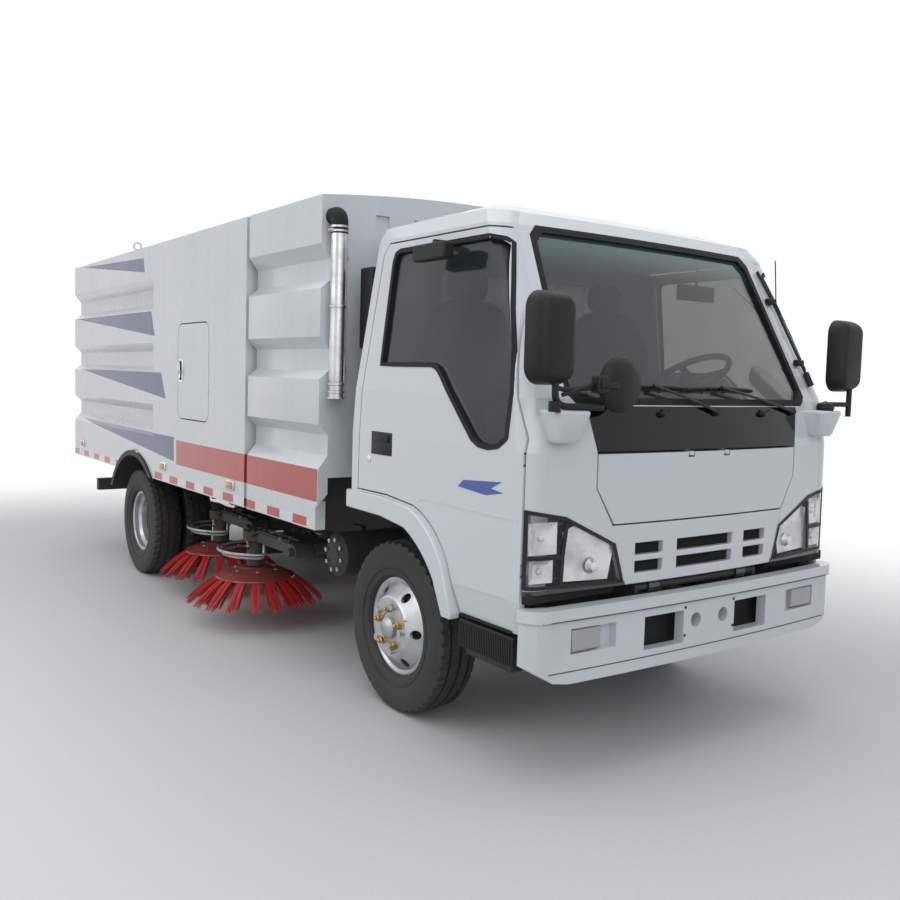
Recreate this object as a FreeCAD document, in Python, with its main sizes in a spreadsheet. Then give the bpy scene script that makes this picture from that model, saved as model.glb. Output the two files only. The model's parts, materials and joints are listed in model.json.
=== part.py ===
"""Street sweeper truck: a light cab-over chassis with a sweeping body.

Everything is modelled from the ground under the front axle: X to the vehicle's
left, Y to its rear, Z up. Each piece is then moved along Y by the same amount,
so that the origin ends up below the middle of the whole vehicle.
"""
import FreeCAD, Part
import Sketcher
import math
import os

os.makedirs("parts", exist_ok=True)
doc = FreeCAD.newDocument("street_sweeper")
V = FreeCAD.Vector

SIZES = [
    # the whole vehicle
    ("front_overhang", 1060),
    ("wheelbase", 3360),
    ("rear_overhang", 1555),
    ("seat_gap", 0.3),
    ("bearing_gap", 1),
    ("running_gap", 7),
    ("overrun", 60),
    # wheels
    ("tyre_radius", 382),
    ("tyre_width", 200),
    ("bead_radius", 203),
    ("bead_width", 122),
    ("flange_radius", 216),
    ("rim_width", 140),
    ("rim_wall", 7),
    ("well_radius", 180),
    ("disc_offset", 116),
    ("disc_wall", 10),
    ("disc_flat_radius", 140),
    ("hub_bore_radius", 68),
    ("hand_hole_radius", 20),
    ("hand_hole_ring", 166),
    ("nut_ring", 104),
    ("nut_radius", 15),
    ("nut_height", 20),
    ("wheel_nuts", 5),
    ("hand_holes", 6),
    ("front_track", 1504),
    ("rear_track", 1440),
    ("dual_spacing", 230),
    ("drum_radius", 158),
    ("stub_radius", 26),
    # ladder frame and axles
    ("frame_half_width", 375),
    ("rail_bottom", 560),
    ("rail_height", 180),
    ("rail_flange", 65),
    ("rail_web", 9),
    ("rail_front", 930),
    ("rail_rear", 4710),
    ("subframe_height", 160),
    ("subframe_width", 60),
    ("kingpin_half", 640),
    ("kingpin_radius", 18),
    ("axle_boss_radius", 36),
    ("axle_boss_height", 90),
    ("beam_depth", 70),
    ("beam_height", 62),
    ("beam_drop", 40),
    ("fork_wall", 40),
    ("steer_arm", 175),
    ("tie_rod_radius", 14),
    ("axle_tube_radius", 52),
    ("banjo_radius", 158),
    ("spring_width", 60),
    ("spring_thickness", 46),
    ("spring_half_length", 560),
    ("spring_camber", 70),
    ("shaft_radius", 40),
    # engine and tanks
    ("engine_length", 960),
    ("engine_width", 540),
    ("engine_bottom", 440),
    ("engine_height", 480),
    ("engine_front", 330),
    ("tank_length", 480),
    ("tank_width", 400),
    ("tank_height", 300),
    ("tank_front", 540),
    ("air_tank_radius", 112),
    ("air_tank_length", 380),
    ("air_tank_place", 720),
    ("air_tank_level", 572),
    # front bumper
    ("bumper_half_width", 935),
    ("bumper_bottom", 400),
    ("bumper_end_bottom", 480),
    ("bumper_ledge", 636),
    ("bumper_top", 680),
    ("bumper_wall", 45),
    ("bumper_bow", 28),
    ("bumper_ledge_step", 9),
    ("bumper_end", 945),
    ("bumper_corner", 95),
    ("lamp_pocket_low", 508),
    ("lamp_pocket_high", 602),
    ("lamp_pocket_inner", 526),
    ("lamp_pocket_outer", 745),
    ("tow_pocket_inner", 158),
    ("tow_pocket_outer", 378),
    ("tow_pocket_low", 472),
    ("tow_hole_radius", 30),
    ("tow_hole_half", 84),
    # cab
    ("cab_half_width", 930),
    ("cab_rear", 252),
    ("cab_wall", 42),
    ("cab_front", 1014),
    ("cab_nose_bottom", 727),
    ("cab_sill", 580),
    ("belt_level", 1430),
    ("header_level", 2092),
    ("roof_edge_level", 2150),
    ("roof_level", 2202),
    ("header_half_width", 840),
    ("header_set_back", 364),
    ("garnish_low", 1236),
    ("lid_low", 956),
    ("arch_top", 976),
    ("arch_drop", 85),
    ("tunnel_half_width", 345),
    ("tunnel_level", 985),
    ("tilt_axis_back", 49),
    ("tilt_axis_level", 700),
    ("tilt_lug_radius", 26),
    ("hinge_pin_radius", 4),
    ("hinge_lug_radius", 8),
    ("hinge_lug_height", 36),
    ("door_gap", 7),
    ("door_rear", 192),
    ("door_front", 935),
    ("glass_wall", 6),
    ("wheel_tilt", 32),
    # sweeping body
    ("body_half_width", 990),
    ("body_front", 472),
    ("module_rear", 1291),
    ("split_gap", 36),
    ("skirt_level", 750),
    ("eave_level", 2322),
    ("crown_level", 2383),
    ("body_wall", 90),
    ("rib_depth", 50),
    ("floor_level", 905),
    ("floor_wall", 60),
    ("module_floor_level", 1000),
    ("rear_rib_front", 2868),
    ("arch_radius", 614),
    ("arch_rise", 157),
    ("arch_lead", 75),
    ("guard_gap", 18),
    ("guard_wall", 6),
    ("hatch_front", 1864),
    ("hatch_rear", 2378),
    ("hatch_low", 1190),
    ("hatch_high", 1776),
    ("hatch_wall", 40),
    ("hatch_corner", 60),
    ("tip_axis_place", 4600),
    ("tip_axis_level", 840),
    ("tip_pin_radius", 22),
    ("tailgate_wall", 50),
    ("tailgate_hinge_back", 14),
    ("tailgate_hinge_half", 600),
    # sweeping gear
    ("brush_radius", 415),
    ("brush_disc_radius", 235),
    ("brush_tip_level", 140),
    ("brush_disc_level", 330),
    ("bristle_bundles", 24),
    ("bristle_angle", 8),
    ("front_brush_half", 740),
    ("front_brush_place", 1720),
    ("rear_brush_half", 620),
    ("rear_brush_place", 2560),
    ("arm_length", 600),
    ("arm_level", 520),
    ("nozzle_half_width", 440),
    ("nozzle_place", 3085),
    ("nozzle_length", 180),
    ("nozzle_bottom", 120),
    ("nozzle_height", 130),
    ("duct_side", 190),
    ("duct_radius", 86),
]

sheet = doc.addObject("Spreadsheet::Sheet", "sizes")
for row, (alias, number) in enumerate(SIZES, start=1):
    sheet.set(f"A{row}", alias.replace("_", " "))
    sheet.set(f"B{row}", str(number))
    sheet.setAlias(f"B{row}", alias)
doc.recompute()


class Size:
    """A size worked out from cells of the sheet: its formula and its value."""

    def __init__(self, formula, number):
        self.formula = formula
        self.number = number

    def __float__(self):
        return float(self.number)

    def __add__(self, other):
        return joined(self, "+", other, lambda a, b: a + b)

    def __radd__(self, other):
        return joined(other, "+", self, lambda a, b: a + b)

    def __sub__(self, other):
        return joined(self, "-", other, lambda a, b: a - b)

    def __rsub__(self, other):
        return joined(other, "-", self, lambda a, b: a - b)

    def __mul__(self, other):
        return joined(self, "*", other, lambda a, b: a * b)

    def __rmul__(self, other):
        return joined(other, "*", self, lambda a, b: a * b)

    def __truediv__(self, other):
        return joined(self, "/", other, lambda a, b: a / b)

    def __rtruediv__(self, other):
        return joined(other, "/", self, lambda a, b: a / b)

    def __neg__(self):
        return self * -1


def formula_of(item):
    return item.formula if isinstance(item, Size) else str(item)


def joined(left, sign, right, work):
    text = f"({formula_of(left)} {sign} {formula_of(right)})"
    return Size(text, work(float(left), float(right)))


def cosine(angle):
    return Size(f"cos({formula_of(angle)})", math.cos(math.radians(float(angle))))


def sine(angle):
    return Size(f"sin({formula_of(angle)})", math.sin(math.radians(float(angle))))


def root(item):
    return Size(f"sqrt({formula_of(item)})", math.sqrt(float(item)))


class Sizes:
    """Reads a cell of the sheet by its alias."""

    def __getattr__(self, alias):
        return Size(f"sizes.{alias}", float(sheet.get(alias)))


s = Sizes()
overall_length = s.front_overhang + s.wheelbase + s.rear_overhang
shift = s.front_overhang - overall_length / 2
NODES = []


def bind(item, prop, size):
    """Ties one property to its formula."""
    if isinstance(size, Size):
        item.setExpression(prop, size.formula)
    elif size:
        item.setExpression(prop, str(size))


def place(item, at, turn=0, axis=V(0, 0, 1)):
    """Moves an object to a point, turned about one axis."""
    item.Placement = FreeCAD.Placement(V(0, 0, 0), FreeCAD.Rotation(axis, float(turn)))
    if isinstance(turn, Size):
        item.Placement.Rotation.Axis = axis
        bind(item, "Placement.Rotation.Angle", turn)
    for letter, size in zip("xyz", at):
        bind(item, f"Placement.Base.{letter}", size)
    return item


def node(label, item, at=(0, 0, 0), turn=0, axis=V(0, 0, 1)):
    """Finishes one piece: its name, and its place in the whole vehicle."""
    item.Label = label
    place(item, (at[0], at[1] + shift, at[2]), turn, axis)
    NODES.append(item)
    return item


def block(low, high):
    """A box between two opposite corners."""
    item = doc.addObject("Part::Box", "block")
    for prop, a, b in zip(("Length", "Width", "Height"), low, high):
        bind(item, prop, b - a)
    return place(item, low)


TURNS = {"X": (V(0, 1, 0), 90), "Y": (V(1, 0, 0), -90), "Z": (V(0, 0, 1), 0)}


def rod(axis, at, radius, length):
    """A cylinder from a point along an axis."""
    item = doc.addObject("Part::Cylinder", "rod")
    bind(item, "Radius", radius)
    bind(item, "Height", length)
    return place(item, at, TURNS[axis][1], TURNS[axis][0])


def union(*items):
    item = doc.addObject("Part::MultiFuse", "union")
    item.Shapes = list(items)
    return item


def overlap(*items):
    item = doc.addObject("Part::MultiCommon", "overlap")
    item.Shapes = list(items)
    return item


def cut(base, *tools):
    item = doc.addObject("Part::Cut", "cut")
    item.Base = base
    item.Tool = tools[0] if len(tools) == 1 else group(*tools)
    return item


def group(*items):
    """Pieces that stay apart, held as one."""
    item = doc.addObject("Part::Compound", "group")
    item.Links = list(items)
    return item


class Through:
    """A point that the side before it bends through, as an arc."""

    def __init__(self, u, w):
        self.at = (u, w)


def draw(sketch, outline):
    """Fills a sketch with a closed outline, each corner tied to the sheet."""
    corners = []
    bends = {}
    for entry in outline:
        if isinstance(entry, Through):
            bends[len(corners) - 1] = entry.at
        else:
            corners.append(entry)
    points = [V(float(u), float(w), 0) for u, w in corners]
    count = len(points)
    ends = []
    rules = []
    ties = []
    for index, first in enumerate(points):
        last = points[(index + 1) % count]
        if index not in bends:
            sketch.addGeometry(Part.LineSegment(first, last))
            ends.append((1, 2))
            continue
        middle = V(*[float(c) for c in bends[index]], 0)
        circle = Part.Circle(first, middle, last)
        hub = circle.Center
        angles = [math.atan2(p.y - hub.y, p.x - hub.x) for p in (first, middle, last)]
        swing = [(a - angles[0]) % (2 * math.pi) for a in angles]
        forward = swing[1] < swing[2]
        low, high = (angles[0], angles[2]) if forward else (angles[2], angles[0])
        if high < low:
            high += 2 * math.pi
        ring = Part.Circle(hub, V(0, 0, 1), circle.Radius)
        sketch.addGeometry(Part.ArcOfCircle(ring, low, high))
        ends.append((1, 2) if forward else (2, 1))
    for index in range(count):
        after = (index + 1) % count
        rules.append(Sketcher.Constraint("Coincident", index, ends[index][1], after, ends[after][0]))
    for index, middle in bends.items():
        mark = sketch.addGeometry(Part.Point(V(*[float(c) for c in middle], 0)), True)
        rules.append(Sketcher.Constraint("PointOnObject", mark, 1, index))
        ties.append((mark, 1, middle))
    for index, corner in enumerate(corners):
        ties.append((index, ends[index][0], corner))
    formulas = []
    for geometry, end, corner in ties:
        for kind, size in zip(("DistanceX", "DistanceY"), corner):
            rules.append(Sketcher.Constraint(kind, -1, 1, geometry, end, float(size)))
            formulas.append((len(rules) - 1, size))
    sketch.addConstraint(rules)
    for index, size in formulas:
        if isinstance(size, Size):
            sketch.setExpression(f"Constraints[{index}]", size.formula)
    return sketch


def body_sketch(body, plane, outline, start):
    """A closed outline on one of a body's own planes, or at a distance off it."""
    sketch = body.newObject("Sketcher::SketchObject", "outline")
    support = [f for f in body.Origin.OriginFeatures if f.Role == plane + "_Plane"][0]
    sketch.AttachmentSupport = (support, [""])
    sketch.MapMode = "FlatFace"
    bind(sketch, "AttachmentOffset.Base.z", -start if plane == "XZ" else start)
    return draw(sketch, outline)


def prism(plane, outline, start, depth):
    """An outline padded from one distance off its plane, towards +X, +Y or +Z."""
    body = doc.addObject("PartDesign::Body", "prism")
    sketch = body_sketch(body, plane, outline, start)
    pad = body.newObject("PartDesign::Pad", "pad")
    pad.Profile = sketch
    pad.Reversed = plane == "XZ"
    bind(pad, "Length", depth)
    return body


def turned(outline, angle=360):
    """An outline in the XY plane turned about X: its points are (along, radius)."""
    body = doc.addObject("PartDesign::Body", "turned")
    sketch = body_sketch(body, "XY", outline, 0)
    turn = body.newObject("PartDesign::Revolution", "turn")
    turn.Profile = sketch
    turn.ReferenceAxis = (sketch, ["H_Axis"])
    turn.Angle = angle
    return body


def mirrored_pair(make):
    """The same piece on the right (-1) and on the left (+1), held as one."""
    return group(make(-1), make(1))


def sections(outlines):
    """A solid ruled from one level outline to the next: pairs of level and outline."""
    sketches = []
    for level, outline in outlines:
        sketch = doc.addObject("Sketcher::SketchObject", "section")
        draw(sketch, outline)
        bind(sketch, "Placement.Base.z", level)
        sketches.append(sketch)
    loft = doc.addObject("Part::Loft", "loft")
    loft.Sections = sketches
    loft.Solid = True
    loft.Ruled = True
    return loft


# Wheels: along the axle, outboard is +X.
TYRE_WALL_SHARES = [(1.0, 0.46), (0.97, 0.8), (0.8, 1.0)]


def tyre_ring(middle):
    """A tyre from its beads to its tread, about a point along the axle."""
    depth = s.tyre_radius - s.bead_radius
    foot = s.flange_radius + s.bearing_gap
    side = [(s.bead_width / 2, s.bead_radius), (s.bead_width / 2, foot)]
    side += [(s.tyre_width / 2 * a, s.bead_radius + depth * b) for a, b in TYRE_WALL_SHARES]
    outline = [(middle + u, w) for u, w in side]
    outline += [(middle - u, w) for u, w in reversed(side)]
    return turned(outline)


def rim_barrel(middle):
    """The rolled rim: two flanges, two bead seats and the well between them."""
    half = s.rim_width / 2
    seat = s.bead_radius - s.seat_gap
    outer = [
        (half, s.flange_radius),
        (half - s.rim_wall, s.flange_radius),
        (s.bead_width / 2, seat),
        (half * 0.45, seat),
        (half * 0.3, s.well_radius),
    ]
    inner = [
        (half * 0.3 - s.rim_wall / 2, s.well_radius - s.rim_wall),
        (half * 0.45 + s.rim_wall / 2, seat - s.rim_wall),
        (half - s.rim_wall, seat - s.rim_wall),
        (half, s.flange_radius - s.rim_wall),
    ]
    outline = [(middle + u, w) for u, w in outer]
    outline += [(middle - u, w) for u, w in reversed(outer)]
    outline += [(middle - u, w) for u, w in reversed(inner)]
    outline += [(middle + u, w) for u, w in inner]
    return turned(outline)


def rim_disc(middle, side):
    """The pressed disc: a flat for the nuts, then a cone back to the well."""
    face = s.disc_offset
    wall = s.disc_wall
    edge = s.bead_radius - s.rim_wall / 2
    cone = s.disc_offset / 2
    lip = wall * 0.6
    flat = s.disc_flat_radius
    points = [
        (face, s.hub_bore_radius),
        (face, flat - wall),
        (face - lip, flat),
        (face - cone, edge),
        (face - cone - wall, edge),
        (face - lip - wall, flat - wall / 2),
        (face - wall, flat - wall * 1.5),
        (face - wall, s.hub_bore_radius),
    ]
    return turned([(middle + side * u, w) for u, w in points])


def ring_of_rods(count, ring, start, radius, length):
    """Rods parallel to the axle, evenly round it."""
    rods = []
    total = int(float(count))
    for index in range(total):
        angle = 360 * index / count
        rods.append(rod("X", (start, ring * cosine(angle), ring * sine(angle)), radius, length))
    return group(*rods)


def front_wheel(name, side):
    face = s.disc_offset
    bore = s.stub_radius + s.bearing_gap
    pilot = s.hub_bore_radius - s.bearing_gap
    flange = s.nut_ring + s.nut_radius
    drum_back = s.rim_width * 0.32
    hub = turned([
        (-drum_back, bore),
        (-drum_back, s.drum_radius),
        (s.disc_wall, s.drum_radius),
        (s.disc_wall, s.nut_ring * 0.8),
        (face - s.disc_wall * 2.4, s.nut_ring * 0.8),
        (face - s.disc_wall * 2.4, flange),
        (face - s.disc_wall, flange),
        (face - s.disc_wall, pilot),
        (face - s.disc_wall * 0.4, pilot),
        (face - s.disc_wall * 0.4, s.stub_radius * 1.1),
        (face + s.disc_wall, s.stub_radius),
        (face + s.disc_wall, 0),
        (face - s.disc_wall * 3, 0),
        (face - s.disc_wall * 3, bore),
    ])
    nuts = ring_of_rods(s.wheel_nuts, s.nut_ring, face - s.disc_wall, s.nut_radius,
                        s.nut_height + s.disc_wall)
    holes = ring_of_rods(s.hand_holes, s.hand_hole_ring, s.disc_wall * 2,
                         s.hand_hole_radius, face)
    disc = cut(rim_disc(0, 1), holes)
    at = (s.front_track / 2 * side, 0, s.tyre_radius)
    turn = 0 if side > 0 else 180
    node("rim_front_" + name, union(rim_barrel(0), disc, hub, nuts), at, turn)
    node("tyre_front_" + name, tyre_ring(0), at, turn)


def rear_wheel(name, side):
    """Twin wheels: their two discs meet on the hub's flange."""
    bore = s.axle_tube_radius * 0.85 + s.bearing_gap
    pilot = s.hub_bore_radius - s.bearing_gap
    flange = s.nut_ring + s.nut_radius
    wall = s.disc_wall
    drum_back = s.disc_offset * 1.3
    hub = turned([
        (-drum_back, bore),
        (-drum_back, s.drum_radius),
        (-wall * 6, s.drum_radius),
        (-wall * 6, s.nut_ring * 0.8),
        (-wall * 2.4, s.nut_ring * 0.8),
        (-wall * 2.4, flange),
        (-wall, flange),
        (-wall, pilot),
        (wall * 9, pilot),
        (wall * 10, pilot * 0.85),
        (wall * 10, pilot * 0.4),
        (wall * 11, pilot * 0.35),
        (wall * 11, 0),
        (wall * 5, 0),
        (wall * 5, bore),
    ])
    nuts = ring_of_rods(s.wheel_nuts, s.nut_ring, -wall, s.nut_radius, s.nut_height + wall * 2)
    holes = ring_of_rods(s.hand_holes, s.hand_hole_ring, -s.disc_offset,
                         s.hand_hole_radius, s.disc_offset * 2)
    discs = union(rim_disc(-s.disc_offset, 1), rim_disc(s.disc_offset, -1))
    barrels = [rim_barrel(-s.disc_offset), rim_barrel(s.disc_offset)]
    at = (s.rear_track / 2 * side, s.wheelbase, s.tyre_radius)
    turn = 0 if side > 0 else 180
    node("rims_rear_" + name, union(*barrels, cut(discs, holes), hub, nuts), at, turn)
    tyres = group(tyre_ring(-s.disc_offset), tyre_ring(s.disc_offset))
    node("tyres_rear_" + name, tyres, at, turn)


for wheel_name, wheel_side in (("right", -1), ("left", 1)):
    front_wheel(wheel_name, wheel_side)
    rear_wheel(wheel_name, wheel_side)

# Ladder frame: two channel rails, their cross members, and the subframe above them.
rail_top = s.rail_bottom + s.rail_height
rail_inner = s.frame_half_width - s.rail_web
body_seat = s.floor_level - s.bearing_gap * 5


def rail(side):
    outer = s.frame_half_width * side
    inner = (s.frame_half_width - s.rail_flange) * side
    web = rail_inner * side
    outline = [
        (outer, s.rail_bottom),
        (outer, rail_top),
        (inner, rail_top),
        (inner, rail_top - s.rail_web),
        (web, rail_top - s.rail_web),
        (web, s.rail_bottom + s.rail_web),
        (inner, s.rail_bottom + s.rail_web),
        (inner, s.rail_bottom),
    ]
    return prism("XZ", outline, -s.rail_front, s.rail_front + s.rail_rear)


def cross_member(where, height):
    low = rail_top - s.rail_web - height
    half = s.rail_flange / 2
    return block((-rail_inner, where - half, low), (rail_inner, where + half, low + height))


def spring_place(where, side):
    """The two eyes of a leaf spring hang from brackets below the rail."""
    middle = (s.frame_half_width - s.spring_width / 2) * side
    eye = s.tyre_radius + s.axle_tube_radius + s.spring_camber
    brackets = []
    for end in (-1, 1):
        y = where + s.spring_half_length * end
        half = s.spring_width / 2
        low = (middle - half, y - half / 2, eye + half / 2 + s.seat_gap)
        high = (middle + half, y + half / 2, s.rail_bottom + s.rail_web)
        brackets.append(block(low, high))
    return brackets


tilt_y = -(s.cab_front - s.tilt_axis_back)
tilt_z = s.tilt_axis_level
tip_y = s.tip_axis_place
tip_z = s.tip_axis_level
member_height = s.rail_height * 0.6
member_shares = [0.22, 0.4, 0.56, 0.82, 0.97]
frame_items = [rail(-1), rail(1), cross_member(-s.rail_front * 0.75, member_height)]
for share in member_shares:
    frame_items.append(cross_member(s.rail_rear * share, member_height))
for where in (0, s.wheelbase):
    for side in (-1, 1):
        frame_items += spring_place(where, side)
for side in (-1, 1):
    x = s.frame_half_width * side
    inner_x = (s.frame_half_width - s.subframe_width) * side
    low = (inner_x, s.body_front, rail_top)
    high = (x, s.module_rear, s.module_floor_level - s.seat_gap)
    frame_items.append(prism("XZ", [(low[0], low[2]), (high[0], low[2]), (high[0], high[2]),
                                    (low[0], high[2])], low[1], high[1] - low[1]))
    frame_items.append(prism("XZ", [(inner_x, rail_top), (x, rail_top), (x, body_seat),
                                    (inner_x, body_seat)], s.module_rear, s.tip_axis_place
                             - s.module_rear - s.tip_pin_radius * 3))
    plate = s.subframe_width / 3
    middle_x = rail_inner * side
    frame_items.append(block((middle_x - s.rail_web, tilt_y - plate, tilt_z - plate),
                             (middle_x + s.rail_web, -s.rail_front * 0.9, tilt_z + plate * 0.6)))
frame_items.append(rod("X", (-s.frame_half_width, tilt_y, tilt_z), s.kingpin_radius, s.frame_half_width * 2))
for side in (-1, 1):
    x = (s.frame_half_width - s.subframe_width / 2) * side
    reach = s.tip_pin_radius * 2
    frame_items.append(block((x - s.subframe_width / 2, tip_y - reach * 2, rail_top),
                             (x + s.subframe_width / 2, tip_y + reach, tip_z + reach - s.bearing_gap * 5)))
    frame_items.append(rod("X", (x - s.subframe_width, tip_y, tip_z), s.tip_pin_radius, s.subframe_width * 2))

# Front axle: a dropped beam, two knuckles that steer, and the rod that ties them.
fork_half = s.axle_boss_height / 2 + s.bearing_gap
web_face = s.kingpin_half + s.axle_boss_radius + s.bearing_gap * 2
plate_face = s.front_track / 2 - s.rim_width * 0.32 - s.running_gap * 1.5
arm_half = s.kingpin_half
arm_level = s.tyre_radius - fork_half - s.fork_wall


def front_beam():
    half = s.beam_height / 2
    low = s.tyre_radius - s.beam_drop
    knee = s.frame_half_width + s.spring_width
    top = [(-s.kingpin_half, s.tyre_radius + half), (-knee, low + half), (knee, low + half),
           (s.kingpin_half, s.tyre_radius + half)]
    bottom = [(s.kingpin_half, s.tyre_radius - half), (knee, low - half), (-knee, low - half),
              (-s.kingpin_half, s.tyre_radius - half)]
    items = [prism("XZ", top + bottom, -s.beam_depth / 2, s.beam_depth)]
    bores = []
    for side in (-1, 1):
        x = s.kingpin_half * side
        start = s.tyre_radius - s.axle_boss_height / 2
        items.append(rod("Z", (x, 0, start), s.axle_boss_radius, s.axle_boss_height))
        bore = s.kingpin_radius + s.bearing_gap
        bores.append(rod("Z", (x, 0, start - s.overrun), bore, s.axle_boss_height + s.overrun * 2))
        seat_x = (s.frame_half_width - s.spring_width / 2) * side
        seat_top = s.tyre_radius + s.axle_tube_radius
        items.append(block((seat_x - s.spring_width / 2, -s.beam_depth / 2, low),
                           (seat_x + s.spring_width / 2, s.beam_depth / 2, seat_top)))
    return cut(union(*items), group(*bores))


def knuckle(side):
    x = s.kingpin_half * side
    z = s.tyre_radius
    reach = s.fork_wall * 0.8
    lugs = []
    for level in (z + fork_half, z - fork_half - s.fork_wall):
        lugs.append(rod("Z", (x, 0, level), reach, s.fork_wall))
        low_x = x if side > 0 else -plate_face
        lugs.append(block((low_x, -reach, level), (low_x + plate_face - s.kingpin_half, reach,
                                                   level + s.fork_wall)))
    web_x = web_face if side > 0 else -plate_face
    lugs.append(block((web_x, -reach, z - fork_half - s.fork_wall),
                      (web_x + plate_face - web_face, reach, z + fork_half + s.fork_wall)))
    pin_length = (fork_half + s.fork_wall) * 2
    lugs.append(rod("Z", (x, 0, z - pin_length / 2), s.kingpin_radius, pin_length))
    stub_end = s.front_track / 2 + s.disc_offset - s.disc_wall * 3 - s.bearing_gap * 2
    stub_start = web_face if side > 0 else -stub_end
    lugs.append(rod("X", (stub_start, 0, z), s.stub_radius, stub_end - web_face))
    plate_x = plate_face - s.rim_wall if side > 0 else -plate_face
    lugs.append(rod("X", (plate_x, 0, z), s.drum_radius * 0.95, s.rim_wall))
    arm_x = arm_half * side
    half = s.tie_rod_radius
    arm = [(x - reach / 2, 0), (x + reach / 2, 0), (arm_x + half, s.steer_arm + half),
           (arm_x - half, s.steer_arm + half)]
    lugs.append(prism("XY", arm, arm_level, s.fork_wall * 0.6))
    lugs.append(rod("Z", (arm_x, s.steer_arm, arm_level), half * 0.7, s.fork_wall * 1.7))
    return union(*lugs)


def tie_rod():
    """An eye on each steering arm's pin; the left one has room on its pin."""
    level = arm_level + s.fork_wall * 0.6 + s.bearing_gap * 2
    height = s.fork_wall * 0.8
    eye = s.tie_rod_radius * 1.6
    bar = rod("X", (-arm_half, s.steer_arm, level + height / 2), s.tie_rod_radius, arm_half * 2)
    eyes = [rod("Z", (arm_half * side, s.steer_arm, level), eye, height) for side in (-1, 1)]
    bores = []
    for side, room in ((-1, s.bearing_gap), (1, s.bearing_gap * 3)):
        at = (arm_half * side, s.steer_arm, level - s.overrun)
        bores.append(rod("Z", at, s.tie_rod_radius * 0.7 + room, height + s.overrun * 2))
    return cut(union(bar, *eyes), group(*bores))


node("front_axle_beam", front_beam())
node("knuckle_right", knuckle(-1))
node("knuckle_left", knuckle(1))
node("tie_rod", tie_rod())


def leaf_spring(where, side):
    """A pack of leaves, thickest over the axle, with an eye at each end."""
    middle = (s.frame_half_width - s.spring_width / 2) * side - s.spring_width / 2
    base = s.tyre_radius + s.axle_tube_radius + s.seat_gap
    eye = base + s.spring_camber
    half = s.spring_half_length
    thin = s.spring_thickness / 4
    outline = [
        (where - half, eye - thin),
        Through(where - half * 0.5, base + s.spring_camber * 0.2),
        (where, base),
        Through(where + half * 0.5, base + s.spring_camber * 0.2),
        (where + half, eye - thin),
        (where + half, eye + thin),
        Through(where + half * 0.5, base + s.spring_camber * 0.2 + s.spring_thickness * 0.6),
        (where, base + s.spring_thickness),
        Through(where - half * 0.5, base + s.spring_camber * 0.2 + s.spring_thickness * 0.6),
        (where - half, eye + thin),
    ]
    items = [prism("YZ", outline, middle, s.spring_width)]
    for end in (-1, 1):
        items.append(rod("X", (middle, where + half * end, eye), s.spring_width / 4, s.spring_width))
    return union(*items)


springs = []
for spring_axle in (0, s.wheelbase):
    for spring_side in (-1, 1):
        springs.append(leaf_spring(spring_axle, spring_side))
node("leaf_springs", group(*springs))


def rear_axle():
    """A tube from hub to hub through the round housing of the final drive."""
    z = s.tyre_radius
    y = s.wheelbase
    end = s.rear_track / 2 + s.disc_wall * 4
    spindle = s.axle_tube_radius * 0.85
    seat = s.rear_track / 2 - s.disc_offset * 1.3 - s.running_gap * 1.5
    nose = s.banjo_radius * 1.6
    items = [
        rod("X", (-end, y, z), spindle, end * 2),
        rod("X", (-seat, y, z), s.axle_tube_radius, seat * 2),
        rod("Y", (0, y - s.banjo_radius * 0.6, z), s.banjo_radius, s.banjo_radius * 1.2),
        rod("Y", (0, y - nose, z), s.banjo_radius * 0.45, nose),
    ]
    for side in (-1, 1):
        plate_x = (seat - s.rim_wall) if side > 0 else -seat
        items.append(rod("X", (plate_x, y, z), s.drum_radius * 0.95, s.rim_wall))
    return union(*items)


node("rear_axle", rear_axle())


def strut(start, end, radius):
    """A round bar between two points that share one X."""
    run = end[1] - start[1]
    drop = start[2] - end[2]
    item = doc.addObject("Part::Cylinder", "strut")
    bind(item, "Radius", radius)
    bind(item, "Height", root(run * run + drop * drop))
    slope = Size(f"(atan({formula_of(drop / run)}) / 1 deg)",
                 math.degrees(math.atan(float(drop) / float(run))))
    return place(item, start, -90 - slope, V(1, 0, 0))


shaft_front = s.engine_length - s.engine_front + s.bearing_gap * 2
shaft_rear = s.wheelbase - s.banjo_radius * 1.6 - s.bearing_gap * 2
shaft_level = s.engine_bottom + s.shaft_radius * 1.5
drive_shaft = strut((0, shaft_front, shaft_level), (0, shaft_rear, s.tyre_radius), s.shaft_radius)
node("drive_shaft", group(drive_shaft))


def engine():
    """One plain block for engine and gearbox, with the arms that hold it to the rails."""
    half = s.engine_width / 2
    top = s.engine_bottom + s.engine_height
    rear = s.engine_length - s.engine_front
    body = prism("YZ", [
        (-s.engine_front, s.engine_bottom + s.engine_height * 0.12),
        (-s.engine_front, top - s.engine_height * 0.1),
        (-s.engine_front + s.engine_height * 0.1, top),
        (rear * 0.45, top),
        (rear * 0.6, rail_top),
        (rear, rail_top - s.rail_height * 0.4),
        (rear, s.engine_bottom),
        (-s.engine_front + s.engine_height * 0.3, s.engine_bottom),
    ], -half, s.engine_width)
    arms = []
    reach = rail_inner - s.seat_gap
    for y in (-s.engine_front * 0.4, rear * 0.75):
        arms.append(block((-reach, y, s.rail_bottom + s.rail_web * 2),
                          (reach, y + s.rail_flange, s.rail_bottom + s.rail_height * 0.4)))
    return union(body, *arms)


node("engine_block", engine())


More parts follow.
